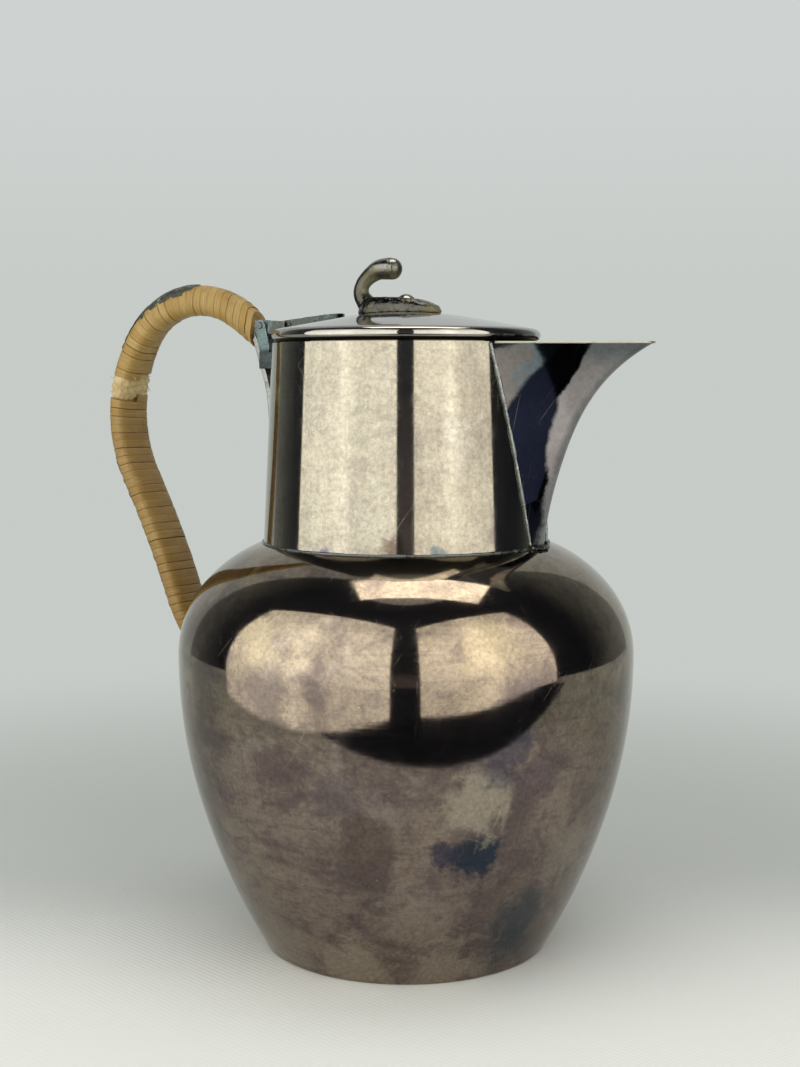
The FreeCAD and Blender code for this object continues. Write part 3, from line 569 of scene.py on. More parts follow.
def stripMaterial(name, look):
    material, desk, shader = newMaterial(name)
    place = desk.objectPlace()
    cells = desk.add("TexVoronoi", {"Vector": place, "Scale": 700.0}, feature="DISTANCE_TO_EDGE").outputs[0]
    cracks = desk.span(cells, 0.08, 0.0)
    tone = tarnish(desk, place, 180, 0.45, 0.18)
    scuff = tarnish(desk, place, 260, 0.55, 0.07, (0.9, 0.3, 0.2))
    colour = desk.layers(
        rgba(look["black"]), (tone, 1.0, look["green"]), (scuff, 0.55, look["scuff"]), (cracks, 0.6, look["crack"]),
    )
    tallness = desk.minus(desk.cloud(place, 800, 4, 0.6), desk.times(cracks, 0.6))
    desk.feed(shader, {
        "Base Color": colour, "Roughness": desk.span(tone, 0.0, 1.0, 0.42, 0.68, False),
        "Normal": desk.bump(tallness, 0.7, 0.00025),
    })
    return material


finish = {
    "body": silverMaterial("bodySilver", bodySilver, bodyStains, coolBody),
    "neck": silverMaterial("neckSilver", neckSilver, neckStains),
    "spout": silverMaterial("spoutSilver", spoutSilver, (), paintReflectionOnSpout),
    "lid": silverMaterial("lidSilver", lidSilver, (), shadeUnderBead),
    "bezel": silverMaterial("bezelSilverAsShade", bezelSilverAsShade),
    "scroll": scrollMaterial("castScroll", scrollLook, 1.0),
    "rivet": scrollMaterial("rivetMetal", rivetLook, 0.35),
    "cane": caneMaterial("splitCane", caneLook),
    "binding": bindingMaterial("palePatch", bindingLook),
    "strip": stripMaterial("darkStrip", stripLook),
}
for finishName, look in hingeLooks.items():
    finish[finishName] = hingeMaterial(look)
nodeFinish = {
    "neck_collar": "neck", "spout": "spout", "lid_bezel": "bezel", "hinge_pin": "pin",
    "handle_foot": "tongue", "handle_core": "tongue", "scroll_rivet": "rivet", "rivet_washer": "scroll",
}
for nodeName, finishName in nodeFinish.items():
    nodes[nodeName].data.materials.clear()
    nodes[nodeName].data.materials.append(finish[finishName])
print("finishes ready:", len(finish))


# mesh helpers
def meshPiece(name, points, faces, body, material, strip=None):
    mesh = bpy.data.meshes.new(name)
    mesh.from_pydata([tuple(p * mm) for p in points], [], faces)
    mesh.polygons.foreach_set("use_smooth", [True] * len(mesh.polygons))
    if strip:
        layer = mesh.uv_layers.new(name="strip")
        for loop in mesh.loops:
            layer.data[loop.index].uv = strip[loop.vertex_index]
    mesh.materials.append(material)
    mesh.validate()
    piece = putIn(name, mesh)
    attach(piece, body)
    return piece


# quads between rows of points; closed joins each row's end to its start
def gridFaces(rows, columns, closed=False, start=0, flip=False):
    faces = []
    for row in range(rows - 1):
        base = start + row * columns
        for column in range(columns if closed else columns - 1):
            after = (column + 1) % columns
            a, b, c, d = base + column, base + after, base + columns + after, base + columns + column
            faces.append((a, d, c, b) if flip else (a, b, c, d))
    return faces


# closed slab from two layers of the same grid
def slabFaces(rows, columns, start=0, flip=False):
    under = rows * columns
    faces = gridFaces(rows, columns, False, start, flip) + gridFaces(rows, columns, False, start + under, not flip)
    for column in (0, columns - 1):
        for row in range(rows - 1):
            a = start + row * columns + column
            b = a + columns
            quad = (a, a + under, b + under, b) if flip else (a, b, b + under, a + under)
            faces.append(quad[::-1] if column else quad)
    for row in (0, rows - 1):
        for column in range(columns - 1):
            a = start + row * columns + column
            quad = (a, a + 1, a + 1 + under, a + under) if flip else (a, a + under, a + 1 + under, a + 1)
            faces.append(quad[::-1] if row else quad)
    return faces


def heading(degrees):
    turn = math.radians(degrees)
    return Vector((math.cos(turn), 0, math.sin(turn)))


def flatPoint(pair):
    return Vector((pair[0], 0, pair[1]))


def arcPoints(first, apex, last, count):
    weight = (last - first).length / 2 / max((apex - first).length, 1e-9)
    found = []
    for step in range(count):
        t = step / count
        near, middle, far = (1 - t) ** 2, 2 * weight * t * (1 - t), t * t
        found.append((first * near + apex * middle + last * far) / (near + middle + far))
    return found


# two arcs that leave along one heading and arrive along another
def biarcPoints(first, leaving, last, arriving, count=40):
    chord = last - first
    bend = 2 * (1 - leaving.dot(arriving))
    pull = 2 * chord.dot(leaving + arriving)
    if bend < 1e-7:
        reach = chord.dot(chord) / pull
    else:
        reach = (math.sqrt(pull * pull + 4 * bend * chord.dot(chord)) - pull) / (2 * bend)
    nearApex = first + leaving * reach
    farApex = last - arriving * reach
    joint = (nearApex + farApex) * 0.5
    return arcPoints(first, nearApex, joint, count) + arcPoints(joint, farApex, last, count)


class Path:
    def __init__(self, points):
        self.points = points
        self.marks = [0.0]
        for index in range(1, len(points)):
            self.marks.append(self.marks[-1] + (points[index] - points[index - 1]).length)
        self.length = self.marks[-1]

    def at(self, distance):
        low, high = 0, len(self.marks) - 2
        while low < high:
            middle = (low + high + 1) // 2
            if self.marks[middle] <= distance:
                low = middle
            else:
                high = middle - 1
        step = self.points[low + 1] - self.points[low]
        share = (distance - self.marks[low]) / max(step.length, 1e-9)
        return self.points[low] + step * share

    def place(self, distance):
        spot = self.at(distance)
        along = (self.at(distance + 0.4) - self.at(distance - 0.4)).normalized()
        return spot, along, across.cross(along)


def tube(path, radii, sides, wobble=0.0, seed=0):
    points = []
    count = len(path)
    for index, spot in enumerate(path):
        along = (path[min(index + 1, count - 1)] - path[max(index - 1, 0)]).normalized()
        side = along.cross(up if abs(along.z) < 0.9 else Vector((1, 0, 0))).normalized()
        other = along.cross(side)
        for corner in range(sides):
            turn = 2 * math.pi * corner / sides
            away = side * math.cos(turn) + other * math.sin(turn)
            swell = 1 + wobble * noise.noise(spot * 0.7 + away * 0.9 + Vector((seed, 0, 0)))
            points.append(spot + away * radii[index] * swell)
    ends = [tuple(range(sides))[::-1], tuple((count - 1) * sides + corner for corner in range(sides))]
    return points, gridFaces(count, sides, True) + ends


# handle line and section, as in the solids; tail is how far the line runs on past the foot
handleShape = {
    "end": (-48.3, 187.1), "endHeading": 133.0, "arch": (-73.9, 200.5), "grip": (-102.3, 163.3),
    "leg": (-88.8, 124.4), "legHeading": -66.5, "foot": (-70.4, 86.0), "footHeading": -48.0, "tail": 9,
    "archSize": (10.4, 9.8), "gripSize": (17.0, 6.4), "square": (2.35, 3.3),
}


def makeHandlePath():
    h = handleShape
    end, arch, grip, leg, foot = (flatPoint(h[key]) for key in ("end", "arch", "grip", "leg", "foot"))
    back = Vector((-1, 0, 0))
    legWay, footWay = heading(h["legHeading"]), heading(h["footHeading"])
    toArch = biarcPoints(end, heading(h["endHeading"]), arch, back)
    toGrip = biarcPoints(arch, back, grip, -up)
    rest = biarcPoints(grip, -up, leg, legWay) + biarcPoints(leg, legWay, foot, footWay)
    path = Path(toArch + toGrip + rest + [foot, foot + footWay * h["tail"]])
    return path, path.marks[len(toArch)], path.marks[len(toArch) + len(toGrip)]


handlePath, archAt, gripAt = makeHandlePath()
footAt = handlePath.length - handleShape["tail"]


def gripShare(distance):
    share = min(1, max(0, (distance - archAt) / (gripAt - archAt)))
    return share * share * (3 - 2 * share)


def halfSizes(distance):
    share = gripShare(distance)
    archSize, gripSize = handleShape["archSize"], handleShape["gripSize"]
    return [(archSize[k] + (gripSize[k] - archSize[k]) * share) / 2 for k in (0, 1)]


def squareness(distance):
    rounder, squarer = handleShape["square"]
    return rounder + (squarer - rounder) * gripShare(distance)


def signedPower(value, power):
    return math.copysign(abs(value) ** power, value)


# point on the rounded section and the way it faces; turn 0 is the inside of the loop
def onSection(distance, turn):
    spot, along, outward = handlePath.place(distance)
    halfWidth, halfDepth = halfSizes(distance)
    square = squareness(distance)
    wide = halfWidth * signedPower(math.sin(turn), 2 / square)
    deep = halfDepth * signedPower(-math.cos(turn), 2 / square)
    facing = across * signedPower(wide / halfWidth, square - 1) / halfWidth
    facing = facing + outward * signedPower(deep / halfDepth, square - 1) / halfDepth
    return spot + across * wide + outward * deep, facing.normalized(), along


# cane, wound as one flat strip; fan slants the turns at the hinge end, where they draw in
cane = {
    "steps": 44, "cover": 0.99, "deep": 2.1, "tilt": 0.14, "lift": 0.09, "slip": 0.05,
    "fanLength": 26.0, "drawIn": 0.8, "drawLength": 7.0,
    "edge": [
        (-0.5, -1.0), (-0.5, -0.07), (-0.485, -0.025), (-0.42, -0.008), (-0.18, 0.0),
        (0.18, 0.0), (0.42, -0.008), (0.485, -0.025), (0.5, -0.07), (0.5, -1.0),
    ],
}
windings = [
    {"name": "caneUpper", "node": "cane_wrap_upper", "low": 4.6, "high": 68.4, "turns": 24, "fan": 4.2, "seed": 3},
    {
        "name": "caneLower", "node": "cane_wrap_lower", "low": 75.9, "high": footAt - 8.2,
        "turns": 30, "fan": 0.0, "seed": 7,
    },
]


def windCane(look):
    rng = random.Random(look["seed"])
    turns, fan, steps = look["turns"], look["fan"], cane["steps"]
    pitch = (look["high"] - look["low"]) / turns
    tilts = [rng.uniform(-1, 1) * cane["tilt"] for turn in range(turns + 2)]
    lifts = [rng.uniform(-1, 0.4) * cane["lift"] for turn in range(turns + 2)]
    slips = [rng.uniform(-1, 1) * cane["slip"] * pitch for turn in range(turns + 2)]
    points, strip = [], []
    rows, width = turns * steps + 1, len(cane["edge"])
    for row in range(rows):
        turn = row / steps
        whole = min(int(turn), turns - 1)
        slip, tilt, lift = (v[whole] + (v[whole + 1] - v[whole]) * (turn - whole) for v in (slips, tilts, lifts))
        travel = pitch * turn
        spread = fan * max(0, 1 - travel / cane["fanLength"])
        angle = 2 * math.pi * turn
        middle = look["low"] + travel - spread * math.cos(angle) + slip
        half = pitch / 2 * (1 + (fan / cane["fanLength"] * math.cos(angle) if spread > 0 else 0))
        facing = onSection(middle, angle)[1]
        near, far = onSection(middle - half, angle)[0], onSection(middle + half, angle)[0]
        if fan:
            lift -= cane["drawIn"] * max(0, 1 - travel / cane["drawLength"]) ** 2
        for sideways, depth in cane["edge"]:
            spot = near + (far - near) * (0.5 + sideways * cane["cover"])
            points.append(spot + facing * (depth * cane["deep"] + lift + tilt * sideways))
            strip.append((turn, sideways + 0.5))
    faces = gridFaces(rows, width)
    faces += [tuple(range(width)), tuple(range((rows - 1) * width, rows * width))[::-1]]
    # the first and last turns close over the core
    for first, column in ((0, 1), (rows - 1 - steps, width - 2)):
        loop = [points[(first + step) * width + column] for step in range(steps)]
        start = len(points)
        points += loop + [sum(loop, Vector()) / steps]
        strip += [(0.3 + step * 0.01, 0.5) for step in range(steps + 1)]
        for step in range(steps):
            corners = (start + step, start + steps, start + (step + 1) % steps)
            faces.append(corners if first == 0 else corners[::-1])
    piece = meshPiece(look["name"], points, faces, "pot", finish["cane"], strip)
    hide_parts(look["node"])


for look in windings:
    windCane(look)
print("cane wound")


# pale worn patch between the windings
patch = {
    "from": 67.0, "to": 77.3, "rows": 46, "around": 84, "lift": -0.25, "rough": 0.42, "ragged": 0.9, "folds": 0.16,
    "foldPitch": 2.6, "sink": 1.1, "sinkFrom": 0.5, "seed": 11, "tufts": 46, "tuftInset": 0.8, "tuftLean": 0.9,
    "tuftLength": (0.8, 2.0), "tuftRoot": 0.4, "hair": [0.13, 0.12, 0.1, 0.08, 0.03],
}


def makePatch():
    points = []
    rows, around = patch["rows"], patch["around"]
    for row in range(rows):
        share = row / (rows - 1)
        outer = abs(2 * share - 1)
        for column in range(around):
            angle = 2 * math.pi * column / around
            tear = Vector((math.cos(angle) * 2.2, math.sin(angle) * 2.2, 3.0 + round(share)))
            ragged = patch["ragged"] * noise.noise(tear) * outer
            distance = patch["from"] + (patch["to"] - patch["from"]) * share + ragged
            spot, facing, along = onSection(distance, angle)
            lumps = noise.fractal(spot * 0.55, 1.0, 2.0, 4) * patch["rough"]
            folds = patch["folds"] * math.sin(distance * patch["foldPitch"] + 2 * math.sin(angle * 2))
            sink = patch["sink"] * max(0, outer - patch["sinkFrom"]) / (1 - patch["sinkFrom"])
            points.append(spot + facing * (patch["lift"] + lumps + folds - sink))
    faces = gridFaces(rows, around, True, 0, True)
    rng = random.Random(patch["seed"])
    for tuft in range(patch["tufts"]):
        angle = rng.choice((math.pi, math.pi, math.pi * 0.5, math.pi * 1.5, 0.15)) + rng.uniform(-0.55, 0.55)
        distance = rng.uniform(patch["from"] + patch["tuftInset"], patch["to"] - patch["tuftInset"])
        spot, facing, along = onSection(distance, angle)
        lean = (along * rng.uniform(-1, 1) + across * rng.uniform(-0.6, 0.6)) * patch["tuftLean"]
        length = rng.uniform(*patch["tuftLength"])
        bends = [(facing * (0.75 * t) + lean * t * t) * length for t in (0, 0.25, 0.5, 0.75, 1.0)]
        line = [spot + bend - facing * patch["tuftRoot"] for bend in bends]
        start = len(points)
        hairPoints, hairFaces = tube(line, patch["hair"], 5)
        points += hairPoints
        faces += [tuple(start + k for k in face) for face in hairFaces]
    piece = meshPiece("wornPatch", points, faces, "pot", finish["binding"])
    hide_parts("binding_tape")


makePatch()
print("worn patch laid")


# dark strips, ragged along their edges
darkStrips = [
    {
        "name": "stripArch", "node": "spine_strip_upper", "from": 29.2, "length": 33.5, "width": 8.6, "offset": -1.2,
        "thick": 0.34, "lift": 0.1, "ragged": 0.42, "seed": 5,
    },
    {
        "name": "stripLeg", "node": "spine_strip_lower", "from": 92.0, "length": 58.5, "width": 7.4, "offset": -1.9,
        "thick": 1.0, "lift": 0.12, "ragged": 0.18, "seed": 9,
    },
]
stripGrid = {"rows": 120, "columns": 15, "taper": 3.0, "ripple": 0.16, "overhang": 0.97}


def makeStrip(look):
    rows, columns = stripGrid["rows"], stripGrid["columns"]
    points = []
    for layer in (1, 0):
        for row in range(rows):
            share = row / (rows - 1)
            distance = look["from"] + look["length"] * share
            halfWidth, halfDepth = halfSizes(distance)
            square = squareness(distance)
            ends = min(1.0, (min(share, 1 - share) * look["length"] / stripGrid["taper"] + 0.04) ** 0.5)
            spot, along, outward = handlePath.place(distance)
            for column in range(columns):
                side = 2 * column / (columns - 1) - 1
                edge = Vector((distance * 0.42, math.copysign(2.0, side), look["seed"]))
                tear = 1 + look["ragged"] * noise.fractal(edge, 1.0, 2.0, 4)
                sideways = side * look["width"] / 2 * ends * tear + look["offset"]
                limit = halfWidth * stripGrid["overhang"]
                sideways = max(-limit, min(limit, sideways))
                deep = halfDepth * (1 - min(1, abs(sideways) / halfWidth) ** square) ** (1 / square)
                ripple = stripGrid["ripple"] * noise.noise(Vector((distance * 0.5, side * 1.3, look["seed"] + 4)))
                thick = look["thick"] + ripple * (0.4 + abs(side))
                rise = look["lift"] + thick * layer * ends * (1 - 0.35 * abs(side) ** 4)
                points.append(spot + across * sideways + outward * (deep + rise))
    piece = meshPiece(look["name"], points, slabFaces(rows, columns), "pot", finish["strip"])
    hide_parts(look["node"])


for look in darkStrips:
    makeStrip(look)
print("dark strips laid")


# body raised in one sheet, with a rounded foot edge; profile points are radius and height
bodyShape = {
    "base": 44.9, "baseSheet": 1.1, "flare": 30.0, "belly": (70.5, 90.8), "neckFoot": (44.0, 125.2), "lean": 70.2,
    "sheet": 1.2, "around": 288, "dents": 0.05, "dentSize": 17,
    "foot": [
        (0.02, 0.5), (30.0, 0.5), (41.2, 0.45), (42.6, 0.2),
        (43.4, 0.03), (43.9, 0.0), (44.35, 0.16), (44.66, 0.5),
    ],
    "floor": [(42.0, 1.75), (30.0, 1.7), (0.02, 1.7)],
}


def lathe(profile, sides, dents=0.0):
    points = []
    for radius, height in profile:
        for side in range(sides):
            turn = 2 * math.pi * side / sides
            way = Vector((math.cos(turn), math.sin(turn), 0))
            ripple = way * (radius / bodyShape["dentSize"]) + up * (height / bodyShape["dentSize"])
            wave = dents * noise.noise(ripple) if radius > 1 else 0
            points.append(way * (radius + wave) + up * height)
    return points, gridFaces(len(profile), sides, True)


def makeBody():
    foot = Vector((bodyShape["base"], 0, bodyShape["baseSheet"]))
    belly, seam = flatPoint(bodyShape["belly"]), flatPoint(bodyShape["neckFoot"])
    outline = biarcPoints(foot, heading(90 - bodyShape["flare"]), belly, up)
    outline += biarcPoints(belly, up, seam, heading(90 + bodyShape["lean"])) + [seam]
    profile = bodyShape["foot"] + [(spot.x, spot.z) for spot in outline]
    for index in range(len(outline) - 1, -1, -5):
        step = outline[min(index + 1, len(outline) - 1)] - outline[max(index - 1, 0)]
        inward = Vector((-step.z, 0, step.x)).normalized() * bodyShape["sheet"]
        height = min(outline[index].z + inward.z, bodyShape["neckFoot"][1])
        profile.append((outline[index].x + inward.x, height))
    points, faces = lathe(profile + bodyShape["floor"], bodyShape["around"], bodyShape["dents"])
    piece = meshPiece("potBody", points, faces, "pot", finish["body"])
    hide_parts("body_shell", "body_shoulder", "base_disc")


makeBody()
print("body raised")


# lid dome rolled over into one bead
lidShape = {
    "top": 195.6, "edge": (39.0, 190.45), "slope": 11.0, "sheet": 1.0, "around": 256,
    "bead": [
        (39.7, 190.28), (40.4, 189.95), (40.92, 189.4), (41.18, 188.7), (41.2, 188.2), (41.05, 187.65),
        (40.7, 187.2), (40.25, 186.98), (39.95, 186.8), (39.9, 186.3), (38.85, 186.3), (38.85, 189.4),
    ],
}


def makeLid():
    edge, top = flatPoint(lidShape["edge"]), Vector((0.02, 0, lidShape["top"]))
    outline = biarcPoints(edge, heading(180 - lidShape["slope"]), top, Vector((-1, 0, 0)), 24) + [top]
    inside = [(spot.x, spot.z - lidShape["sheet"]) for spot in outline[:0:-4]]
    outside = lidShape["bead"][::-1] + [(spot.x, spot.z) for spot in outline]
    points, faces = lathe(inside + outside, lidShape["around"])
    piece = meshPiece("lidTop", points, faces, "lid", finish["lid"])
    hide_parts("lid_dome", "lid_bead")


makeLid()
print("lid raised")


# solder beads along the seams, and a worn bright lip on the spout's rim
neckShape = {"foot": 125.2, "footRadius": 44.0, "rim": 186.0, "rimRadius": 41.0, "spoutFoot": 6.4, "spoutTop": 20.1}
seams = {
    "ring": (44.1, 125.25), "ringSteps": 180, "spoutFrom": 126.0, "spoutTall": 59.6, "spoutSteps": 70, "stand": 0.12,
    "footSteps": 32, "foot": (45.9, 6.6, 125.5), "footBend": (2.0, 0.4),
    "lipSteps": 28, "lipFrom": 37.0, "lipShort": 0.8, "lipInset": 0.08, "lipHeight": 185.74, "rimAbove": 185.9,
}
beads = {
    "neckSeam": {"thick": 0.46, "uneven": 0.14, "grain": 0.35, "sides": 8, "wobble": 0.25, "finish": "seam"},
    "spoutSeam": {"thick": 0.52, "uneven": 0.22, "grain": 0.3, "sides": 8, "wobble": 0.3, "finish": "solder"},
    "footSolder": {"thick": 0.55, "uneven": 0.25, "grain": 0.6, "sides": 8, "wobble": 0.4, "finish": "seam"},
    "spoutLip": {"thick": 0.33, "uneven": 0.07, "grain": 0.4, "sides": 10, "wobble": 0.15, "finish": "lip"},
}
spoutSides = [(-1, "Near"), (1, "Far")]


def makeBead(kind, label, line, seed):
    look = beads[kind]
    radii = [look["thick"] + look["uneven"] * noise.noise(spot * look["grain"]) for spot in line]
    points, faces = tube(line, radii, look["sides"], look["wobble"], seed)
    meshPiece(kind + label, points, faces, "pot", finish[look["finish"]])


def neckSize(height, low, high):
    share = (height - neckShape["foot"]) / (neckShape["rim"] - neckShape["foot"])
    return neckShape[low] + (neckShape[high] - neckShape[low]) * share


def makeSolder():
    radius, height = seams["ring"]
    turns = [2 * math.pi * step / seams["ringSteps"] for step in range(seams["ringSteps"] + 1)]
    ring = [Vector((math.cos(turn) * radius, math.sin(turn) * radius, height)) for turn in turns]
    makeBead("neckSeam", "", ring, 2)
    for side, label in spoutSides:
        line = []
        for step in range(seams["spoutSteps"] + 1):
            height = seams["spoutFrom"] + seams["spoutTall"] * step / seams["spoutSteps"]
            half = neckSize(height, "spoutFoot", "spoutTop")
            forward = math.sqrt(neckSize(height, "footRadius", "rimRadius") ** 2 - half ** 2)
            line.append(Vector((forward + seams["stand"], side * (half + seams["stand"]), height)))
        makeBead("spoutSeam", label, line, 5 + side)
    forward, half, height = seams["foot"]
    bend, dip = seams["footBend"]
    line = []
    for step in range(seams["footSteps"] + 1):
        side = 2 * step / seams["footSteps"] - 1
        line.append(Vector((forward - bend * side * side, half * side, height - dip * (1 - side * side))))
    makeBead("footSolder", "", line, 9)


# the lip follows the sheet's rim, found on the solid's own edges
def makeLip():
    mesh = nodes["spout"].data
    spots = [v.co / mm for v in mesh.vertices]
    rim = []
    for edge in mesh.edges:
        pair = [spots[k] for k in edge.vertices]
        if min(spot.z for spot in pair) > seams["rimAbove"]:
            rim.append(pair)
    begin, steps = seams["lipFrom"], seams["lipSteps"]
    reach = max(spot.x for pair in rim for spot in pair) - seams["lipShort"]
    for side, label in spoutSides:
        line = []
        for step in range(steps + 1):
            x = begin + (reach - begin) * step / steps
            found = [a.y + (b.y - a.y) * (x - a.x) / (b.x - a.x) for a, b in rim if (a.x - x) * (b.x - x) < 0]
            line.append(Vector((x, side * (max(y * side for y in found) - seams["lipInset"]), seams["lipHeight"])))
        makeBead("spoutLip", label, line, 3)


makeSolder()
makeLip()
print("seams soldered")


# skins a shape evenly, rounding its corners
def skin(mesh, voxel, rounds):
    raw = putIn("skinRaw", mesh)
    cover = raw.modifiers.new("cover", "REMESH")
    cover.mode = "VOXEL"
    cover.voxel_size = voxel * mm
    ease = raw.modifiers.new("ease", "SMOOTH")
    ease.factor = 0.5
    ease.iterations = rounds
    bpy.context.view_layer.update()
    made = bpy.data.meshes.new_from_object(raw.evaluated_get(bpy.context.evaluated_depsgraph_get()))
    bpy.data.objects.remove(raw)
    corners = [v.co / mm for v in made.vertices]
    facings = [v.normal.copy() for v in made.vertices]
    sides = [tuple(face.vertices) for face in made.polygons]
    bpy.data.meshes.remove(made)
    return corners, facings, sides


# hinge and tongue, rubbed round and pitted
wornPieces = [
    {
        "name": "hingeLugs", "node": "hinge_bracket", "body": "pot", "finish": "hinge",
        "voxel": 0.16, "rounds": 5, "lumps": 0.07,
    },
    {
        "name": "hingeStrap", "node": "hinge_strap", "body": "lid", "finish": "strap",
        "voxel": 0.18, "rounds": 5, "lumps": 0.08,
    },
    {
        "name": "handleTongue", "node": "handle_tongue", "body": "pot", "finish": "tongue",
        "voxel": 0.2, "rounds": 4, "lumps": 0.04,
    },
]


def makeWorn(look):
    corners, facings, sides = skin(nodes[look["node"]].data.copy(), look["voxel"], look["rounds"])
    moved = []
    for spot, facing in zip(corners, facings):
        moved.append(spot + facing * (look["lumps"] * (noise.fractal(spot * 0.8, 1.0, 2.0, 3) - 0.3)))
    piece = meshPiece(look["name"], moved, sides, look["body"], finish[look["finish"]])
    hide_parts(look["node"])


for look in wornPieces:
    makeWorn(look)
print("hinge worn")


# thumb scroll: a curl with a full head, on a thick leaf; curl marks are x, rise, radius and leaf marks x, rise
scroll = {
    "top": 195.6, "half": 5.3, "voxel": 0.26, "rounds": 14, "lumps": 0.16, "calmAbove": 5.5,
    "curl": [
        (-10.6, 0.2, 3.1), (-13.2, 2.6, 2.9), (-15.2, 5.4, 2.5), (-14.9, 8.4, 2.3),
        (-12.6, 11.0, 2.5), (-9.4, 12.9, 3.05), (-6.4, 13.3, 3.35), (-4.6, 13.2, 3.35),
    ],
    "curlSteps": 70, "noseSteps": 12, "nose": 0.9, "sides": 32,
    "leaf": [
        (-15.9, 0.9), (-15.0, 2.8), (-13.0, 4.3), (-10.0, 5.0), (-5.3, 4.8), (0.0, 4.5),
        (4.4, 4.0), (8.1, 3.0), (9.8, 2.4), (10.9, 1.6), (11.3, 1.0), (11.5, 0.6),
    ],
    "rows": 72, "columns": 31, "widest": 0.42, "tailRound": 2.7, "tipRound": 3.6, "sunk": 0.12,
    "rib": 0.22, "ribPitch": 10.0, "droop": 0.36, "droopReach": 12, "sideDroop": 0.003,
}


def between(table, where):
    for low, high in zip(table, table[1:]):
        if where <= high[0]:
            share = max(0, (where - low[0]) / (high[0] - low[0]))
            return low[1] + (high[1] - low[1]) * share
    return table[-1][1]


# smooth line through marked points
def through(marks, share):
    scaled = share * (len(marks) - 1)
    index = min(int(scaled), len(marks) - 2)
    t = scaled - index
    a, b, c, d = (Vector(marks[min(max(index + k, 0), len(marks) - 1)]) for k in (-1, 0, 1, 2))
    return 0.5 * (2 * b + (c - a) * t + (2 * a - 5 * b + 4 * c - d) * t * t + (3 * b - a - 3 * c + d) * t ** 3)


def curlTube():
    spots, radii = [], []
    for step in range(scroll["curlSteps"]):
        x, rise, radius = through(scroll["curl"], step / (scroll["curlSteps"] - 1))
        spots.append(Vector((x, 0, scroll["top"] + rise)))
        radii.append(radius)
    ahead = (spots[-1] - spots[-2]).normalized()
    last, full = spots[-1], radii[-1]
    for step in range(1, scroll["noseSteps"] + 1):
        turn = math.pi / 2 * step / scroll["noseSteps"]
        spots.append(last + ahead * (full * scroll["nose"] * math.sin(turn)))
        radii.append(max(0.15, full * math.cos(turn)))
    return tube(spots, radii, scroll["sides"])


# thick leaf with ribbed sides, drawn to a blunt point in front
def leafSlab(start):
    points = []
    rows, columns, widest = scroll["rows"], scroll["columns"], scroll["widest"]
    tail, tip = scroll["leaf"][0][0], scroll["leaf"][-1][0]
    for layer in (1, 0):
        for row in range(rows):
            share = row / (rows - 1)
            x = tail + (tip - tail) * share
            lean = (share - widest) / (widest if share < widest else 1 - widest)
            bluntness = scroll["tailRound"] if lean < 0 else scroll["tipRound"]
            half = scroll["half"] * max(0.05, 1 - abs(lean) ** bluntness) ** 0.5
            for column in range(columns):
                side = 2 * column / (columns - 1) - 1
                rib = scroll["rib"] * math.cos(side * scroll["ribPitch"]) * (1 - share)
                rise = between(scroll["leaf"], x) * (1 - abs(side) ** 6 * 0.45) + rib if layer else 0.0
                drop = scroll["droop"] * (x / scroll["droopReach"]) ** 2 + scroll["sideDroop"] * (half * side) ** 2
                points.append(Vector((x, side * half, scroll["top"] - scroll["sunk"] - drop + rise)))
    return points, slabFaces(rows, columns, start, True)


def makeScroll():
    points, faces = curlTube()
    leafPoints, leafFaces = leafSlab(len(points))
    raw = bpy.data.meshes.new("scrollRaw")
    raw.from_pydata([tuple(p * mm) for p in points + leafPoints], [], faces + leafFaces)
    corners, facings, sides = skin(raw, scroll["voxel"], scroll["rounds"])
    moved = []
    for spot, facing in zip(corners, facings):
        low = min(1, max(0, (scroll["top"] + scroll["calmAbove"] - spot.z) / 2.5))
        lump = noise.fractal(spot * 0.6, 1.0, 2.1, 3) * scroll["lumps"] * (0.1 + 0.9 * low)
        moved.append(spot + facing * lump)
    piece = meshPiece("thumbScroll", moved, sides, "lid", finish["scroll"])
    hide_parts("thumb_scroll")


makeScroll()
print("scroll sculpted")


# stage: cloth floor, dark room seen only by reflections, lamps
stageLook = {
    "cloth": (0.79, 0.805, 0.765), "dim": (0.55, 0.572, 0.545), "far": (0.565, 0.598, 0.572),
    "sky": (0.62, 0.648, 0.64), "ambient": 0.55, "ambientTint": (0.98, 1.0, 0.985),
    "dark": (0.016, 0.018, 0.026), "glimmer": (0.15, 0.122, 0.135), "haze": (0.30, 0.32, 0.31),
    "threads": 2600.0, "floorReach": 6.0, "floorSides": 96,
    "roomReach": 1.1, "roomColumns": 54, "roomRows": 16, "roomTurns": (-130, 270), "roomLifts": (-1, 77),
    "tableEdge": 0.196, "tableTurn": 9.0, "tableWide": (0.55, 0.75), "tableHeight": 0.001,
}
panels = [
    {
        "name": "panelLeft", "facing": -42.0, "distance": 0.27, "from": -48.0, "to": 35.0, "low": 0.006, "high": 0.47,
        "watts": 0.58, "tint": (1.0, 0.985, 0.95), "glow": 2.02, "gleam": -6.0, "raise": 0.0,
    },
    {
        "name": "panelRight", "facing": 42.0, "distance": 0.27, "from": -36.0, "to": 27.0, "low": 0.006, "high": 0.47,
        "watts": 0.46, "tint": (1.0, 0.965, 0.91), "glow": 1.92, "gleam": -7.0, "raise": 0.055,
    },
]
overhead = {
    "height": 0.85, "wide": 0.56, "deep": 0.26, "aside": 0.07, "watts": 1.05, "glow": 5.6,
    "tint": (1.0, 0.955, 0.87), "stripe": 3.0,
}
frontTurn = math.atan2(shot["place"][1], shot["place"][0])


def around(degrees):
    turn = frontTurn + math.radians(degrees)
    return Vector((math.cos(turn), math.sin(turn), 0))


def stagePiece(name, points, faces, material):
    mesh = bpy.data.meshes.new(name)
    mesh.from_pydata([tuple(p) for p in points], [], faces)
    mesh.materials.append(material)
    piece = putIn(name, mesh)
    return piece


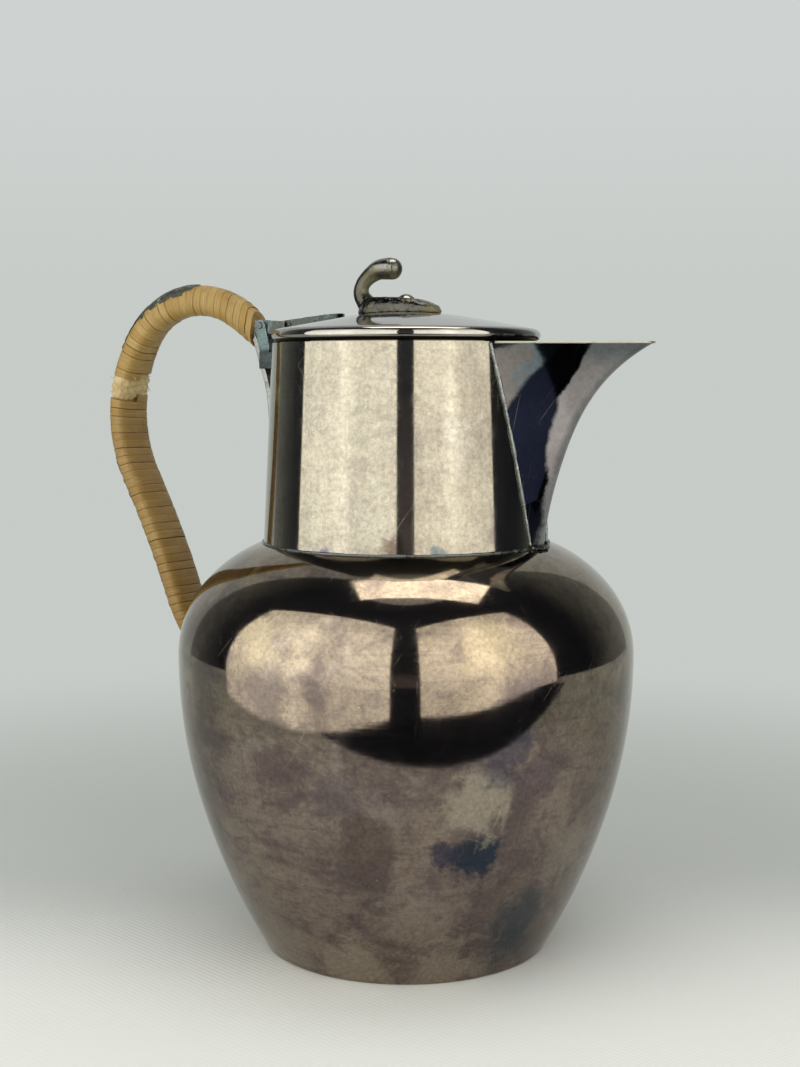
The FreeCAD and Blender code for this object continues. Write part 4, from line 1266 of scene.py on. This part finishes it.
def reflectedOnly(piece):
    piece.visible_camera = False
    piece.visible_diffuse = False
    piece.visible_transmission = False
    piece.visible_shadow = False


def seenRays(desk):
    path = desk.add("LightPath").outputs
    both = desk.math("ADD", path["Is Camera Ray"], path["Is Glossy Ray"], True)
    return desk.math("ADD", both, path["Is Transmission Ray"], True)


def emission(desk, colour, strength):
    return desk.add("Emission", {"Color": colour, "Strength": strength}).outputs[0]


def surface(desk, shader):
    desk.feed(desk.tree.nodes["Material Output"], {"Surface": shader})


def makeFloor():
    material, desk, shader = newMaterial("paleCloth")
    place = desk.objectPlace()
    spots = desk.axes(desk.stretch(place, turn=(0, 0, -frontTurn - math.pi / 2)))
    warp, weft = (desk.math("SINE", desk.times(spots[axis], stageLook["threads"])) for axis in "XY")
    # painted shade: the cloth is darker behind the pot
    behind = desk.span(desk.vectorMath("DOT_PRODUCT", place, -around(0)), -0.06, 0.08)
    desk.feed(shader, {
        "Base Color": desk.mix(behind, rgba(stageLook["cloth"]), rgba(stageLook["dim"])), "Roughness": 0.9,
        "Specular IOR Level": 0.1, "Normal": desk.bump(desk.times(warp, weft), 0.15, 0.0003),
    })
    fade = desk.times(desk.span(desk.vectorMath("LENGTH", place), 0.13, 0.5), seenRays(desk))
    glow = emission(desk, rgba(stageLook["far"]), 1.0)
    surface(desk, desk.add("MixShader", {0: fade, 1: shader.outputs[0], 2: glow}).outputs[0])
    points, faces, sides = [Vector((0, 0, 0))], [], stageLook["floorSides"]
    for corner in range(sides):
        points.append(around(360 * corner / sides) * stageLook["floorReach"])
        faces.append((0, 1 + corner, 1 + (corner + 1) % sides))
    stagePiece("floor", points, faces, material)


def makeDarkRoom():
    material, desk, shader = newMaterial("darkRoom")
    desk.tree.nodes.remove(shader)
    ahead = desk.vectorMath("DOT_PRODUCT", desk.objectPlace(), around(0))
    shade = desk.layers(
        rgba(stageLook["dark"]), (desk.span(ahead, -0.1, -0.85), 1.0, stageLook["haze"]),
        (desk.span(ahead, 1.06, 1.09), 1.0, stageLook["glimmer"]),
    )
    surface(desk, emission(desk, shade, 1.0))
    points = []
    columns, rows, reach = stageLook["roomColumns"], stageLook["roomRows"], stageLook["roomReach"]
    firstTurn, allTurns = stageLook["roomTurns"]
    firstLift, allLifts = stageLook["roomLifts"]
    for row in range(rows):
        lift = math.radians(firstLift + allLifts * row / (rows - 1))
        for column in range(columns):
            way = around(firstTurn + allTurns * column / (columns - 1))
            points.append(way * (reach * math.cos(lift)) + up * (reach * math.sin(lift)))
    faces = gridFaces(rows, columns)
    # dark table beyond the cloth's front edge
    ahead, sideways = around(stageLook["tableTurn"]), around(stageLook["tableTurn"] + 90)
    start = len(points)
    for near, wide in zip((stageLook["tableEdge"], reach), stageLook["tableWide"]):
        points += [ahead * near + sideways * wide * k + up * stageLook["tableHeight"] for k in (-1, 1)]
    faces.append((start, start + 1, start + 3, start + 2))
    reflectedOnly(stagePiece("darkRoom", points, faces, material))


# pane with a soft brighter stripe, brightest at the height of the neck
def makePane(name, tint, strength, sideways, stripe, corners):
    material, desk, shader = newMaterial(name + "Glow")
    desk.tree.nodes.remove(shader)
    place = desk.objectPlace()
    beside = desk.math("ABSOLUTE", desk.minus(desk.vectorMath("DOT_PRODUCT", place, sideways), stripe))
    height = desk.axes(place)["Z"]
    tall = desk.plus(desk.span(height, 0.02, 0.16, 0.95, 1.42), desk.span(height, 0.26, 0.42, 0.0, -0.5))
    level = desk.times(desk.span(beside, 0.05, 0.0, 1.0, 1.3), tall)
    level = desk.times(level, desk.span(desk.cloud(place, 9, 3), 0.3, 0.7, 0.9 * strength, 1.1 * strength))
    surface(desk, emission(desk, rgba(tint), level))
    reflectedOnly(stagePiece(name + "Pane", corners, [(0, 1, 2, 3)], material))


def makeLamp(name, wide, tall, watts, tint, place, turn):
    data = bpy.data.lights.new(name, "AREA")
    data.shape = "RECTANGLE"
    data.size, data.size_y = wide, tall
    data.energy = watts
    data.color = tint
    lamp = putIn(name, data)
    lamp.location = place
    lamp.rotation_euler = turn
    lamp.visible_camera = False
    lamp.visible_glossy = False


def makePanels():
    for look in panels:
        low, high, distance = look["low"], look["high"], look["distance"]
        facing, sideways = around(look["facing"]), around(look["facing"] + 90)
        left, right, stripe = (math.tan(math.radians(look[key])) * distance for key in ("from", "to", "gleam"))
        middle = facing * distance + sideways * (left + right) / 2 + up * ((high + low) / 2)
        turn = (-facing).to_track_quat("-Z", "Y").to_euler()
        makeLamp(look["name"], right - left, high - low, look["watts"], look["tint"], middle, turn)
        outline = ((left, low), (right, low + look["raise"]), (right, high), (left, high))
        corners = [facing * distance + sideways * aside + up * height for aside, height in outline]
        makePane(look["name"], look["tint"], look["glow"], sideways, stripe, corners)
    ahead, sideways = around(0), around(90)
    middle = sideways * overhead["aside"] + up * overhead["height"]
    wide, deep = overhead["wide"] / 2, overhead["deep"] / 2
    makeLamp("panelTop", 2 * wide, 2 * deep, overhead["watts"], (1, 1, 1), middle, (0, 0, frontTurn + math.pi / 2))
    corners = [middle + sideways * wide * i + ahead * deep * j for i, j in ((-1, -1), (1, -1), (1, 1), (-1, 1))]
    makePane("panelTop", overhead["tint"], overhead["glow"], sideways, overhead["stripe"], corners)


def makeWorld():
    world = bpy.data.worlds.new("paleRoom")
    scene.world = world
    world.use_nodes = True
    desk = Desk(world.node_tree)
    desk.tree.nodes.clear()
    lift = desk.axes(desk.add("TexCoord").outputs["Generated"])["Z"]
    shade = desk.mix(desk.span(lift, 0.0, 0.22), rgba(stageLook["far"]), rgba(stageLook["sky"]))
    seen = desk.add("Background", {"Color": shade, "Strength": 1.0})
    lit = desk.add("Background", {"Color": rgba(stageLook["ambientTint"]), "Strength": stageLook["ambient"]})
    blend = desk.add("MixShader", {0: seenRays(desk), 1: lit.outputs[0], 2: seen.outputs[0]})
    desk.add("OutputWorld", {"Surface": blend.outputs[0]})


makeFloor()
makeDarkRoom()
makePanels()
makeWorld()
print("stage and lamps set")
